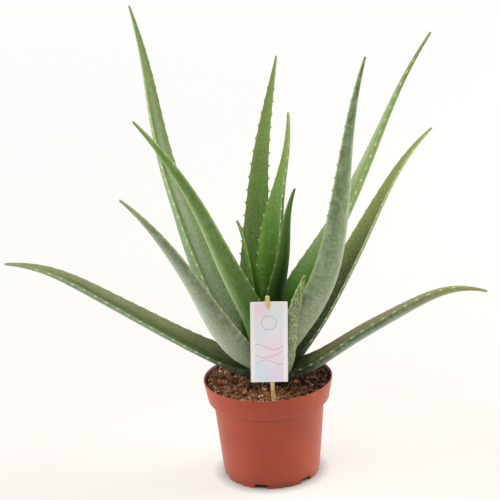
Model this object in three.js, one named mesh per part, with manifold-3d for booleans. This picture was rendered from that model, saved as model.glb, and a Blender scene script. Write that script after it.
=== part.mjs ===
// A young aloe in a nursery pot: the pot, its soil, a short stem with a rosette of toothed
// leaves, and a small card held upright by a wooden pick with a clip cut into its top.
// Millimetres, +Z up. The origin is the middle of the pad under the pot, and -Y is the front.
import * as THREE from "three";
import { mergeVertices } from "three/addons/utils/BufferGeometryUtils.js";
import Module from "manifold-3d";

const wasm = await Module();
wasm.setup();

const GAP = 0.3; // between pieces that touch on the real object
const FRONT = -90; // azimuth in degrees of the side with the card; 0 is +X

const POT = {
  height: 95,
  wall: 1.4,
  lipRadius: 60,
  lipRound: 0.7,
  bandBottomRadius: 56.3,
  bandHeight: 20,
  neckRadius: 51.5,
  shoulderDrop: 2.5,
  bellyRadius: 45.2,
  footRadius: 43.8,
  footHeight: 5,
  footTaper: 0.8,
  footRound: 0.5,
  bandRound: 0.9,
  floorZ: 4,
  padRadius: 12,
  padTaper: 1,
  segments: 60,
};
const NOTCH = { count: 6, phase: -15, depth: 12, width: 12, height: 4, smallWidth: 7, smallHeight: 1.5 };
const DRAIN = { count: 6, radius: 4, ring: 27, depth: 8, sides: 12 };

const SOIL = {
  edgeZ: 92,
  middleZ: 87,
  bump: 0.8,
  lumpPitch: 20,
  bottomRound: 2,
  rings: 6,
  segments: 40,
};

const STEM = {
  bottomZ: 68,
  bottomRadius: 3.5,
  bottomRound: 3,
  rootRadius: 6.5,
  neckZ: 104,
  neckRadius: 7.5,
  topZ: 124,
  topRadius: 4,
  topRound: 1.5,
  segments: 24,
};

// The card and its pick are placed together. Their heights are measured from the soil.
const LABEL = { place: [3.7, -47.5, 90.5], forward: 4, sideways: -0.7 };
const PICK = {
  bottomZ: -45,
  topZ: 105.5,
  pointLength: 12,
  pointWidth: 1,
  width: 3.8,
  shaft: 2,
  slit: 1.2,
  tongue: 1.2,
  headHeight: 4.7,
  tongueLength: 11.8,
  tongueWidth: 3,
  holeTopZ: 12,
};
const CARD = { width: 33.5, height: 80, thickness: 0.6, x: -0.8, bottomZ: 20.3, turn: 2.6 };

// Teeth stand along both margins, one in each cell of the blade. foot, heel and point are
// shares of a cell, and a tooth shrinks to the share least of its height as the blade narrows.
const TOOTH = {
  pitch: 12,
  height: 1.8,
  least: 0.35,
  fullHalfWidth: 8,
  from: 0.13,
  to: 0.92,
  foot: 0.3,
  heel: 0.62,
  point: 0.56,
};
// A blade's section: edge is the margin's thickness in millimetres, and the rest are shares.
// The thicknesses, channel and clasp count in widths, and clasp deepens the channel at the stem.
const SECTION = {
  edge: 1,
  rootThickness: 0.27,
  tipThickness: 0.5,
  channel: 0.09,
  clasp: 0.1,
  shoulder: 0.62,
  fullness: 0.78,
};
// The foot of a blade is rolled round the stem: to radius at the root, and flat from end on.
const CURL = { radius: 10, end: 0.2 };
const TIP_WIDTH = 1.6;
const SPINE_STEPS = 120;

// Each leaf grows from the stem at a radius and a height. Azimuth and lean from the vertical
// are in degrees, from root to tip, and so is the width. facing is where the blade's back
// looks, and is left out where that is the way the leaf leans.
const LEAVES = [
  {
    name: "leaf_heart_spear",
    root: [2, 112],
    length: 179,
    azimuth: [-46, -38],
    facing: [-47, -39],
    lean: [9, 8, 17, 10, 27],
    width: [31, 27, 18, 10],
    colour: 0x2f5420,
  },
  {
    name: "leaf_heart_left",
    root: [0, 112],
    length: 137,
    azimuth: [160, 160],
    lean: [3, 6, 8, 11, 26],
    width: [18, 17, 12, 7],
    colour: 0x4c8a2c,
  },
  {
    name: "leaf_heart_right",
    root: [1, 112],
    length: 235,
    azimuth: [62, 0],
    facing: [47, 47],
    lean: [9, 2, 10, 15, 1],
    width: [29, 26, 24, 10],
    colour: 0x4c8430,
  },
  {
    name: "leaf_back",
    root: [9, 106],
    length: 288,
    azimuth: [112, 0],
    facing: [90, 90],
    lean: [18, 11, 8, 12, 12],
    width: [32, 33, 22, 12],
    colour: 0x557a38,
  },
  {
    name: "leaf_left_smooth",
    root: [0, 112],
    length: 279,
    azimuth: [205, 205],
    facing: [236, 224],
    lean: [4, 24, 23, 31, 41],
    width: [26, 29, 19, 11],
    colour: 0x4f7c3c,
  },
  {
    name: "leaf_right_tall",
    root: [2, 118],
    length: 332,
    azimuth: [15, 15],
    facing: [59, -3],
    lean: [15.5, 35.6, 29.1, 27, 38.4],
    width: [28, 27, 17.4, 8],
    colour: 0x5d8a3c,
  },
  {
    name: "leaf_left_tall",
    root: [4, 102],
    length: 362,
    azimuth: [142, 142],
    facing: [182, 104],
    lean: [42, 29, 22, 10, 20],
    width: [33, 36, 21, 12],
    colour: 0x72915a,
  },
  {
    name: "leaf_right_front",
    root: [0, 110],
    length: 338,
    azimuth: [-42, -42],
    facing: [-29, -70],
    lean: [35, 35, 15, 12, 21],
    width: [32, 36, 24, 11],
    colour: 0x849b7b,
  },
  {
    name: "leaf_right",
    root: [4, 105],
    length: 275,
    azimuth: [33, 33],
    facing: [53, 40],
    lean: [66, 43, 38, 41, 62],
    width: [32, 26, 20, 10],
    colour: 0x6d7f4b,
  },
  {
    name: "leaf_left_front",
    root: [1, 114],
    length: 284,
    azimuth: [232, 232],
    facing: [235, 197],
    lean: [63, 38, 35, 41, 52],
    width: [30, 33, 21, 12],
    colour: 0x87a083,
  },
  {
    name: "leaf_low_left",
    root: [4, 104],
    length: 260,
    azimuth: [180, 180],
    facing: [139, 161],
    lean: [71.5, 60, 57.5, 61, 88],
    width: [28, 22, 18, 13],
    colour: 0x6f7d55,
  },
  {
    name: "leaf_low_right",
    root: [4, 100.2],
    length: 224,
    azimuth: [-12, -12],
    facing: [6, -32],
    lean: [79, 56, 58.5, 66, 108],
    width: [28, 21.5, 19, 13],
    colour: 0x6b7048,
  },
  {
    name: "leaf_spotted",
    root: [5, 97],
    length: 144,
    azimuth: [-65, -58],
    facing: [-69, -65],
    lean: [62, 36, 19, 25, 30],
    width: [22, 21, 13, 11],
    colour: 0x7d9066,
  },
];

const PLASTIC = { color: 0xb8593d, roughness: 0.5 };
const PEAT = { color: 0x3d2a1e, roughness: 1 };
const STEM_GREEN = { color: 0x8f9a5c, roughness: 0.6 };
const PALE_WOOD = { color: 0xe8c98a, roughness: 0.65 };
const PRINTED_CARD = { color: 0xe9dfe8, roughness: 0.45 };

// ---------- small helpers ----------

const radians = THREE.MathUtils.degToRad;

// Value at fraction t of a list of evenly spaced values, on a smooth curve through them.
function along(values, t) {
  const last = values.length - 1;
  const i = Math.min(Math.floor(t * last), last - 1);
  const before = values[i - 1] ?? 2 * values[0] - values[1];
  const after = values[i + 2] ?? 2 * values[last] - values[last - 1];
  return catmullRom(before, values[i], values[i + 1], after, t * last - i);
}

function catmullRom(a, b, c, d, t) {
  const slopeIn = (c - a) / 2;
  const slopeOut = (d - b) / 2;
  const rise = c - b;
  const square = 3 * rise - 2 * slopeIn - slopeOut;
  const cube = slopeIn + slopeOut - 2 * rise;
  return b + t * (slopeIn + t * (square + t * cube));
}

function polar(radius, azimuth, z) {
  return new THREE.Vector3(radius * Math.cos(radians(azimuth)), radius * Math.sin(radians(azimuth)), z);
}

// A profile of [radius, z] points turned about the Z axis.
function lathe(profile, segments) {
  const geometry = new THREE.LatheGeometry(profile.map(([r, z]) => new THREE.Vector2(r, z)), segments);
  return geometry.rotateX(Math.PI / 2);
}

function extrude(outline, depth) {
  const shape = new THREE.Shape(outline.map(([x, y]) => new THREE.Vector2(x, y)));
  return new THREE.ExtrudeGeometry(shape, { depth, bevelEnabled: false });
}

function toSolid(geometry) {
  const bare = geometry.clone();
  bare.deleteAttribute("normal");
  bare.deleteAttribute("uv");
  const merged = mergeVertices(bare, 1e-4);
  return new wasm.Manifold(new wasm.Mesh({
    numProp: 3,
    vertProperties: new Float32Array(merged.attributes.position.array),
    triVerts: new Uint32Array(merged.index.array),
  }));
}

function toGeometry(solid) {
  const mesh = solid.getMesh();
  const geometry = new THREE.BufferGeometry();
  geometry.setAttribute("position", new THREE.BufferAttribute(new Float32Array(mesh.vertProperties), 3));
  geometry.setIndex(new THREE.BufferAttribute(new Uint32Array(mesh.triVerts), 1));
  geometry.computeVertexNormals();
  return geometry;
}

function largestPiece(solid) {
  const pieces = solid.decompose();
  return pieces.reduce((best, piece) => (piece.volume() > best.volume() ? piece : best));
}

function named(name, geometry, look) {
  const mesh = new THREE.Mesh(geometry, new THREE.MeshStandardMaterial({ metalness: 0, ...look }));
  mesh.name = name;
  return mesh;
}

// ---------- pot ----------

// Inner radius of the pot at height z: the wall follows the outside.
function potInnerRadius(z) {
  const neckZ = POT.height - POT.bandHeight - POT.shoulderDrop;
  const bandZ = POT.height - POT.bandHeight;
  const mix = THREE.MathUtils.mapLinear;
  if (z < neckZ) return mix(z, POT.footHeight, neckZ, POT.bellyRadius, POT.neckRadius) - POT.wall;
  if (z < bandZ) return mix(z, neckZ, bandZ, POT.neckRadius, POT.bandBottomRadius) - POT.wall;
  return mix(z, bandZ, POT.height, POT.bandBottomRadius, POT.lipRadius) - POT.wall;
}

function potProfile() {
  const { height, wall, lipRadius, lipRound, bandRound, bandBottomRadius } = POT;
  const { footRadius, footHeight, footTaper, footRound, floorZ, padRadius, padTaper } = POT;
  const bandZ = height - POT.bandHeight;
  const neckZ = bandZ - POT.shoulderDrop;
  const floorTop = floorZ + wall;
  return [
    [0, 0],
    [padRadius, 0],
    [padRadius + padTaper, floorZ],
    [footRadius - wall - footTaper, floorZ],
    [footRadius - wall, 0],
    [footRadius, 0],
    [footRadius, footHeight - footRound],
    [POT.bellyRadius, footHeight + footRound],
    [POT.neckRadius, neckZ],
    [bandBottomRadius - bandRound, bandZ - bandRound],
    [bandBottomRadius, bandZ],
    [lipRadius, height - lipRound],
    [lipRadius - lipRound, height],
    [lipRadius - wall, height - lipRound],
    [potInnerRadius(bandZ), bandZ],
    [potInnerRadius(neckZ), neckZ],
    [potInnerRadius(floorTop), floorTop],
    [padRadius, floorTop],
    [padRadius - padTaper, wall],
    [0, wall],
  ];
}

// A block that reaches from inside the foot ring to outside it, at a heading from the front.
function footNotch(heading, width, height) {
  const block = new THREE.BoxGeometry(NOTCH.depth, width, height * 2);
  block.translate(POT.footRadius, 0, 0);
  return toSolid(block.rotateZ(radians(FRONT + heading)));
}

function drainHole(heading) {
  const drill = new THREE.CylinderGeometry(DRAIN.radius, DRAIN.radius, DRAIN.depth, DRAIN.sides);
  drill.rotateX(Math.PI / 2).translate(DRAIN.ring, 0, POT.floorZ);
  return toSolid(drill.rotateZ(radians(FRONT + heading)));
}

function potGeometry() {
  let pot = toSolid(lathe(potProfile(), POT.segments));
  const step = 360 / NOTCH.count;
  for (let i = 0; i < NOTCH.count; i++) {
    const heading = NOTCH.phase + i * step;
    pot = pot.subtract(footNotch(heading, NOTCH.width, NOTCH.height));
    pot = pot.subtract(footNotch(heading + step / 2, NOTCH.smallWidth, NOTCH.smallHeight));
  }
  for (let i = 0; i < DRAIN.count; i++) {
    pot = pot.subtract(drainHole(NOTCH.phase + (i * 360) / DRAIN.count));
  }
  return toGeometry(pot);
}

// ---------- soil and stem ----------

// Height of the soil: a shallow dish with soft lumps, level where it meets the pot.
function soilHeight(radius, azimuth, rim) {
  const share = radius / rim;
  const base = THREE.MathUtils.lerp(SOIL.middleZ, SOIL.edgeZ, share * share);
  const wave = (2 * Math.PI * radius) / SOIL.lumpPitch;
  const lumps = (Math.sin(wave + 2 * azimuth) + Math.cos(wave / 2 - 3 * azimuth)) / 2;
  return base + SOIL.bump * lumps * Math.sin(Math.PI * share);
}

function soilSolid() {
  const rim = potInnerRadius(SOIL.edgeZ) - GAP;
  const bandZ = POT.height - POT.bandHeight;
  const neckZ = bandZ - POT.shoulderDrop;
  const bottomZ = POT.floorZ + POT.wall + GAP;
  const roundZ = bottomZ + SOIL.bottomRound;
  const side = [
    [0, bottomZ],
    [potInnerRadius(bottomZ) - GAP - SOIL.bottomRound, bottomZ],
    [potInnerRadius(roundZ) - GAP, roundZ],
    [potInnerRadius(neckZ) - GAP, neckZ],
    [potInnerRadius(bandZ) - GAP, bandZ],
  ];
  const top = [];
  for (let i = SOIL.rings; i >= 0; i--) top.push([(rim * i) / SOIL.rings, SOIL.edgeZ]);
  const geometry = lathe([...side, ...top], SOIL.segments);
  const position = geometry.attributes.position;
  for (let i = 0; i < position.count; i++) {
    if (position.getZ(i) < bandZ + GAP) continue;
    const radius = Math.hypot(position.getX(i), position.getY(i));
    const azimuth = radius < GAP ? 0 : Math.atan2(position.getY(i), position.getX(i));
    position.setZ(i, soilHeight(radius, azimuth, rim));
  }
  return toSolid(geometry);
}

// The stem, swollen on all sides by grow where it cuts room for itself in its neighbours.
function stemGeometry(grow) {
  const profile = [
    [0, STEM.bottomZ - grow],
    [STEM.bottomRadius + grow, STEM.bottomZ - grow],
    [STEM.rootRadius + grow, STEM.bottomZ + STEM.bottomRound],
    [STEM.neckRadius + grow, STEM.neckZ],
    [STEM.topRadius + grow, STEM.topZ],
    [0, STEM.topZ + STEM.topRound + grow],
  ];
  return lathe(profile, STEM.segments);
}

// ---------- leaves ----------

// The leaf's middle line as a function of the share of its length: the place, the way it
// runs, the way its upper face looks and the way across the blade.
function leafSpine(leaf) {
  const stride = leaf.length / SPINE_STEPS;
  const places = [polar(leaf.root[0], leaf.azimuth[0], leaf.root[1])];
  const heading = (t) => {
    const azimuth = radians(THREE.MathUtils.lerp(...leaf.azimuth, t));
    const lean = radians(along(leaf.lean, t));
    const flat = Math.sin(lean);
    return new THREE.Vector3(flat * Math.cos(azimuth), flat * Math.sin(azimuth), Math.cos(lean));
  };
  for (let i = 0; i < SPINE_STEPS; i++) {
    places.push(places[i].clone().addScaledVector(heading((i + 0.5) / SPINE_STEPS), stride));
  }
  return (t) => {
    const i = Math.min(Math.floor(t * SPINE_STEPS), SPINE_STEPS - 1);
    const place = places[i].clone().lerp(places[i + 1], t * SPINE_STEPS - i);
    const run = heading(t);
    const up = polar(-1, THREE.MathUtils.lerp(...(leaf.facing ?? leaf.azimuth), t), 1);
    const face = up.addScaledVector(run, -up.dot(run)).normalize();
    return { place, face, across: run.clone().cross(face) };
  };
}

// Rows of points that run up the leaf, in order around its section. A row's u is a share of
// the half width, and its depth a share of the body's thickness below the channel.
const ROWS = [
  { u: -1, margin: "upper" },
  { u: 0, depth: 0 },
  { u: 1, margin: "upper" },
  { u: 1, margin: "lower" },
  { u: SECTION.shoulder, depth: SECTION.fullness },
  { u: 0, depth: 1 },
  { u: -SECTION.shoulder, depth: SECTION.fullness },
  { u: -1, margin: "lower" },
];

function leafHalfWidth(leaf, t) {
  return along([...leaf.width, TIP_WIDTH], t) / 2;
}

// Where a row's point lies in the section at share t of the length: [across, above].
function sectionPoint(leaf, row, t, grow) {
  const half = leafHalfWidth(leaf, t);
  const edge = Math.min(SECTION.edge, half) / 2 + grow;
  if (row.margin) return [row.u * (half + grow), row.margin === "upper" ? edge : -edge];
  const channel = half * 2 * (SECTION.channel + SECTION.clasp * (1 - t) ** 4);
  const body = half * 2 * THREE.MathUtils.lerp(SECTION.rootThickness, SECTION.tipThickness, t);
  const sag = channel * (1 - row.u * row.u);
  return [row.u * half, row.depth === 0 ? edge - sag : -edge - sag - row.depth * body];
}

// A point of the flat section at share t of the length, after the blade's foot is rolled up.
function curled(t, [across, above]) {
  const bend = Math.max(0, 1 - t / CURL.end) ** 2 / CURL.radius;
  if (bend === 0) return [across, above];
  const angle = across * bend;
  return [Math.sin(angle) * (1 / bend - above), (1 - Math.cos(angle)) / bend + above * Math.cos(angle)];
}

function cellShares(leaf) {
  const cells = Math.round(leaf.length / TOOTH.pitch);
  return { cells, share: (i, within = 0) => (i + within) / cells };
}

// Shares of the length at which a row has its points: one each cell, and on a margin the
// two feet of each cell's tooth.
function rowShares(leaf, row) {
  const { cells, share } = cellShares(leaf);
  const shares = [0];
  for (let i = 0; i < cells; i++) {
    if (row.margin) shares.push(share(i, TOOTH.foot), share(i, TOOTH.heel));
    else if (i > 0) shares.push(share(i));
  }
  shares.push(1);
  return shares;
}

class LeafMesh {
  constructor(leaf, grow) {
    this.leaf = leaf;
    this.grow = grow;
    this.spine = leafSpine(leaf);
    this.points = [];
    this.faces = [];
    this.rows = ROWS.map((row) => this.addRow(row));
    for (let i = 0; i < ROWS.length; i++) this.addStrip(i, (i + 1) % ROWS.length);
    this.addCap(0, false);
    this.addCap(-1, true);
  }

  addPoint(t, flat) {
    const { place, face, across: side } = this.spine(t);
    const [across, above] = curled(t, flat);
    return this.points.push(place.addScaledVector(side, across).addScaledVector(face, above)) - 1;
  }

  addRow(row) {
    return rowShares(this.leaf, row).map((t) => ({
      t,
      index: this.addPoint(t, sectionPoint(this.leaf, row, t, this.grow)),
    }));
  }

  // Faces between two neighbouring rows, closed in step with the rows' own points.
  addStrip(a, b) {
    const first = this.rows[a];
    const second = this.rows[b];
    const edge = ROWS[a].margin && ROWS[b].margin;
    let i = 0;
    let j = 0;
    while (i < first.length - 1 || j < second.length - 1) {
      if (edge && i === j && this.hasTooth(i)) {
        this.addTooth(a, b, i);
        i++;
        j++;
        continue;
      }
      const firstNext = i < first.length - 1 ? first[i + 1].t : Infinity;
      const secondNext = j < second.length - 1 ? second[j + 1].t : Infinity;
      if (firstNext < secondNext || (firstNext === secondNext && i <= j)) {
        this.faces.push([first[i].index, second[j].index, first[i + 1].index]);
        i++;
      } else {
        this.faces.push([first[i].index, second[j].index, second[j + 1].index]);
        j++;
      }
    }
  }

  // A margin's points run 0, foot, heel, foot, heel ... so a tooth starts at each odd one.
  hasTooth(i) {
    const t = this.rows[0][i].t;
    return i % 2 === 1 && t > TOOTH.from && t < TOOTH.to;
  }

  addTooth(a, b, i) {
    const { cells, share } = cellShares(this.leaf);
    const t = share((i - 1) / 2, TOOTH.point);
    const half = leafHalfWidth(this.leaf, t);
    const breadth = Math.min(1, half / TOOTH.fullHalfWidth);
    const height = TOOTH.height * THREE.MathUtils.lerp(TOOTH.least, 1, breadth);
    const tip = this.addPoint(t, [ROWS[a].u * (half + height + this.grow), 0]);
    const ring = [this.rows[a][i], this.rows[a][i + 1], this.rows[b][i + 1], this.rows[b][i]];
    ring.forEach((corner, k) => this.faces.push([corner.index, tip, ring[(k + 1) % 4].index]));
  }

  // The end faces fan out from the middle of the upper face, which sees the whole section.
  addCap(end, outward) {
    const [first, ...rest] = this.rows.map((row) => row.at(end).index);
    const ring = [...rest, first];
    for (let k = 1; k < ring.length - 1; k++) {
      this.faces.push(outward ? [ring[0], ring[k], ring[k + 1]] : [ring[0], ring[k + 1], ring[k]]);
    }
  }

  geometry() {
    const geometry = new THREE.BufferGeometry().setFromPoints(this.points);
    geometry.setIndex(this.faces.flat());
    return geometry;
  }
}

// ---------- card and its pick ----------

// The pick's rounded top, from its right shoulder over to its left one: [x, z].
function roundedTop() {
  const half = PICK.width / 2;
  return [0, 45, 90, 135, 180].map((angle) => {
    const point = polar(half, angle, 0);
    return [point.x, PICK.topZ - half + point.y];
  });
}

// A slab with the given front outline, from one depth to another toward the front.
function slab(outline, from, to) {
  return toSolid(extrude(outline, to - from).rotateX(Math.PI / 2).translate(0, -from, 0));
}

// The shaft runs behind the card, and the tongue hangs in front of it from the head.
function pickSolid() {
  const half = PICK.width / 2;
  const point = PICK.pointWidth / 2;
  const blunt = PICK.tongueWidth / 2;
  const { bottomZ, topZ, pointLength, shaft, slit, tongue } = PICK;
  const front = shaft / 2 + slit + tongue;
  const headZ = topZ - PICK.headHeight;
  const tongueZ = topZ - PICK.tongueLength;
  const pointZ = bottomZ + pointLength;
  const lowerEnd = [[-half, pointZ], [-point, bottomZ], [point, bottomZ], [half, pointZ]];
  const shaftOutline = [...lowerEnd, ...roundedTop()];
  const headOutline = [[half, headZ], ...roundedTop(), [-half, headZ]];
  const end = [[-blunt, tongueZ + blunt], [-point, tongueZ], [point, tongueZ], [blunt, tongueZ + blunt]];
  const tongueOutline = [...end, ...headOutline];
  return slab(shaftOutline, -shaft / 2, shaft / 2)
    .add(slab(headOutline, 0, front))
    .add(slab(tongueOutline, front - tongue, front));
}

// The straight hole that the pick's shaft stands in.
function pickHole() {
  const height = PICK.holeTopZ - PICK.bottomZ;
  const block = new THREE.BoxGeometry(PICK.width + 2 * GAP, PICK.shaft + 2 * GAP, height);
  block.translate(0, 0, PICK.bottomZ - GAP + height / 2).applyMatrix4(label.matrix);
  return toSolid(block);
}

function cardMesh() {
  const sheet = new THREE.BoxGeometry(CARD.width, CARD.thickness, CARD.height);
  const mesh = named("label_card", sheet, PRINTED_CARD);
  mesh.position.set(CARD.x, -(PICK.shaft + PICK.slit) / 2, CARD.bottomZ + CARD.height / 2);
  mesh.rotation.y = radians(CARD.turn);
  return mesh;
}

// ---------- the plant ----------

// The leaves overlap at the stem like scales, so each is cut clear of the stem and of
// every leaf that grows further in.
function leafMeshes() {
  let taken = toSolid(stemGeometry(GAP));
  return LEAVES.map((leaf) => {
    const blade = largestPiece(toSolid(new LeafMesh(leaf, 0).geometry()).subtract(taken));
    taken = taken.add(toSolid(new LeafMesh(leaf, GAP).geometry()));
    return named(leaf.name, toGeometry(blade), { color: leaf.colour, roughness: 0.45 });
  });
}

function soilMesh() {
  const soil = soilSolid().subtract(toSolid(stemGeometry(GAP))).subtract(pickHole());
  return named("soil", toGeometry(soil), PEAT);
}

const label = new THREE.Group();
label.position.set(...LABEL.place);
label.rotation.set(radians(LABEL.forward), radians(LABEL.sideways), 0);
label.updateMatrix();
label.add(named("label_pick", toGeometry(pickSolid()), PALE_WOOD), cardMesh());

const plant = new THREE.Group();
plant.add(named("pot", potGeometry(), PLASTIC));
plant.add(soilMesh());
plant.add(named("stem", toGeometry(toSolid(stemGeometry(0))), STEM_GREEN));
plant.add(...leafMeshes());
plant.add(label);

export default plant;
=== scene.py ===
"""Looks of a young potted aloe: pot, soil, stem, thirteen toothed leaves, and a card on a pick.

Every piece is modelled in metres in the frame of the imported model: +Z up, the origin in the
middle of the pad under the pot, and -Y the front. Sizes are written in millimetres.
"""
import logging
import math
import random
from collections.abc import Callable, Iterator, Sequence
from contextlib import contextmanager
from dataclasses import dataclass, replace
from enum import Enum
from typing import ClassVar

import bmesh
import bpy
import numpy as np
from mathutils import Matrix, Vector, noise


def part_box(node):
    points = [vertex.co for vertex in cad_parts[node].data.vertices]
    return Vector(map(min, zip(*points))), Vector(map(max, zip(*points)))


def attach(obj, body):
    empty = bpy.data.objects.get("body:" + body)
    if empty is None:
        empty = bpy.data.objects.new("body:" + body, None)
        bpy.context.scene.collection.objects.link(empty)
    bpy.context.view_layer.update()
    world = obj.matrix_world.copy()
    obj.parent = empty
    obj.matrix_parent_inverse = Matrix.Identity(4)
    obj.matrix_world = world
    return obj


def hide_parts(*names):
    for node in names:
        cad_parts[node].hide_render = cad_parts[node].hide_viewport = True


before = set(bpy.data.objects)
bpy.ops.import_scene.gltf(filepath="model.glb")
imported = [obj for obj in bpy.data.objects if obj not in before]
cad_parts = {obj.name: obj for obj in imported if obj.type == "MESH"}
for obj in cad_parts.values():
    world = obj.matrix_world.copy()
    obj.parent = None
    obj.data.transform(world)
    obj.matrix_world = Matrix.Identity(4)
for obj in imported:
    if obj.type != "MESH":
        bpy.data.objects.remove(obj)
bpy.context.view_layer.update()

LOG = logging.getLogger("potted_aloe")
MM = 0.001
BODY = "root"

Piece, Material, Socket = bpy.types.Object, bpy.types.Material, bpy.types.NodeSocket
# A colour mix is one Mix node. Its sockets share their names, so they go by number.
FACTOR, FIRST, SECOND, MIXED = 0, 6, 7, 2


# ---------- materials ----------


def linear(colour: str) -> tuple[float, float, float, float]:
    """Turns an sRGB hex colour to linear light.

    Args:
        colour: A hash and six hex digits.

    Returns:
        Linear red, green and blue, and an alpha of 1.
    """
    parts = [int(colour[i : i + 2], 16) / 255 for i in (1, 3, 5)]
    red, green, blue = (c / 12.92 if c <= 0.04045 else ((c + 0.055) / 1.055) ** 2.4 for c in parts)
    return red, green, blue, 1.0


def per(size: float) -> float:
    """The scale at which a pattern repeats once in a size in millimetres."""
    return 1 / (size * MM)


class Nodes:
    """A tree of shader nodes."""

    def __init__(self, tree: bpy.types.NodeTree) -> None:
        """Takes the tree that nodes are added to."""
        self.tree = tree

    def connect(self, node: bpy.types.Node, inputs: dict[str | int, object]) -> None:
        """Links outputs to a node's inputs, or sets their values.

        Args:
            node: The node that takes them.
            inputs: An output socket or a value for each input, by its name or number.
        """
        for key, value in inputs.items():
            if isinstance(value, Socket):
                self.tree.links.new(value, node.inputs[key])
            else:
                node.inputs[key].default_value = value

    def add(
        self,
        kind: str,
        inputs: dict[str | int, object],
        out: str | int = 0,
        stops: Sequence[tuple[float, str]] = (),
        **settings: object,
    ) -> Socket:
        """Adds a node with its settings and links.

        Args:
            kind: The node's type without the words ShaderNode.
            inputs: An output socket or a value for each input, by its name or number.
            out: The output to give back, by its name or number.
            stops: The places and hex colours of a colour ramp.
            settings: The node's own options.

        Returns:
            The output socket that out names.
        """
        node = self.tree.nodes.new("ShaderNode" + kind)
        for option, value in settings.items():
            setattr(node, option, value)
        self.connect(node, inputs)
        for i, (place, colour) in enumerate(stops):
            stop = node.color_ramp.elements[i] if i < 2 else node.color_ramp.elements.new(place)
            stop.position = place
            stop.color = linear(colour)
        return node.outputs[out]


class Surface(Nodes):
    """A material with one Principled shader and the nodes that feed it."""

    def __init__(self, name: str, constants: dict[str, object]) -> None:
        """Starts the material.

        Args:
            name: The material's name.
            constants: What is the same all over the surface, by the shader's socket.
        """
        self.material = bpy.data.materials.new(name)
        self.material.use_nodes = True
        super().__init__(self.material.node_tree)
        self.shader = self.tree.nodes["Principled BSDF"]
        self.connect(self.shader, constants)


# ---------- modelling steps ----------


class Part(Enum):
    """The parts of a mesh that are selected in edit mode, with their names in bmesh."""

    VERT = "verts"
    EDGE = "edges"
    FACE = "faces"


def activate(piece: Piece) -> None:
    """Selects one piece and nothing else.

    Args:
        piece: The object.
    """
    bpy.ops.object.select_all(action="DESELECT")
    piece.select_set(True)
    bpy.context.view_layer.objects.active = piece


@contextmanager
def editing(piece: Piece, part: Part = Part.FACE) -> Iterator[None]:
    """Opens a piece in edit mode with nothing selected, and closes it again.

    Args:
        piece: The mesh object to edit.
        part: What is selected in it.
    """
    activate(piece)
    bpy.ops.object.mode_set(mode="EDIT")
    bpy.ops.mesh.select_mode(type=part.name)
    bpy.ops.mesh.select_all(action="DESELECT")
    yield
    bpy.ops.object.mode_set(mode="OBJECT")


def choose(piece: Piece, part: Part, wanted: Callable[[object], bool]) -> None:
    """Selects, in edit mode, the parts of a mesh that are wanted and nothing else.

    Args:
        piece: The mesh object that is open in edit mode.
        part: The kind of part.
        wanted: Says whether a part is selected.
    """
    bpy.ops.mesh.select_all(action="DESELECT")
    mesh = bmesh.from_edit_mesh(piece.data)
    for item in getattr(mesh, part.value):
        if wanted(item):
            item.select_set(True)
    bmesh.update_edit_mesh(piece.data)


def modify(piece: Piece, kind: str, **settings: object) -> None:
    """Adds a modifier to a piece and applies it.

    Args:
        piece: The mesh object.
        kind: The modifier's type.
        settings: The modifier's own options.
    """
    activate(piece)
    bpy.ops.object.modifier_add(type=kind)
    modifier = piece.modifiers[-1]
    for option, value in settings.items():
        setattr(modifier, option, value)
    bpy.ops.object.modifier_apply(modifier=modifier.name)


def soften(piece: Piece, size: float, segments: int, sharp: float) -> None:
    """Rounds the sharp edges of a piece.

    Args:
        piece: The mesh object.
        size: How far the rounding reaches, in millimetres.
        segments: How many faces it has.
        sharp: Edges sharper than this many degrees are rounded.
    """
    size, angle = size * MM, math.radians(sharp)
    modify(piece, "BEVEL", width=size, segments=segments, limit_method="ANGLE", angle_limit=angle)


def turn_outward(piece: Piece) -> None:
    """Points all the faces of a closed piece outwards.

    Args:
        piece: The mesh object.
    """
    with editing(piece):
        bpy.ops.mesh.select_all(action="SELECT")
        bpy.ops.mesh.normals_make_consistent(inside=False)


def turned(rings: Sequence[tuple[float, float]], sides: int) -> Piece:
    """Draws a round form up from a disc, ring by ring, as on a lathe.

    Args:
        rings: Radius and height of each ring in millimetres, from the first disc to the last.
        sides: How many sides the rings have.

    Returns:
        The closed piece.
    """
    radius, height = rings[0]
    bpy.ops.mesh.primitive_circle_add(
        vertices=sides, radius=radius * MM, fill_type="NGON", location=(0, 0, height * MM)
    )
    piece = bpy.context.object
    bpy.ops.object.transform_apply(location=True, rotation=False, scale=False)
    with editing(piece, Part.EDGE):
        bpy.ops.mesh.select_all(action="SELECT")
        for (before, low), (after, high) in zip(rings, rings[1:]):
            rise = (0, 0, (high - low) * MM)
            bpy.ops.mesh.extrude_edges_move(TRANSFORM_OT_translate={"value": rise})
            bpy.ops.transform.resize(value=(after / before, after / before, 1))
        bpy.ops.mesh.edge_face_add()
    turn_outward(piece)
    return piece


def read_points(piece: Piece) -> np.ndarray:
    """Reads the places of a piece's points.

    Args:
        piece: The mesh object.

    Returns:
        A row of three numbers for each point.
    """
    flat = np.empty(len(piece.data.vertices) * 3)
    piece.data.vertices.foreach_get("co", flat)
    return flat.reshape(-1, 3)


def write_points(piece: Piece, points: np.ndarray) -> None:
    """Moves a piece's points to the given places, a row each."""
    piece.data.vertices.foreach_set("co", points.ravel())
    piece.data.update()


def note_points(piece: Piece, name: str, values: np.ndarray) -> None:
    """Stores three numbers for each point, for the material to read.

    Args:
        piece: The mesh object.
        name: The attribute's name.
        values: A row of three numbers for each point.
    """
    attribute = piece.data.attributes.new(name, "FLOAT_VECTOR", "POINT")
    attribute.data.foreach_set("vector", values.astype(np.float32).ravel())


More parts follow.
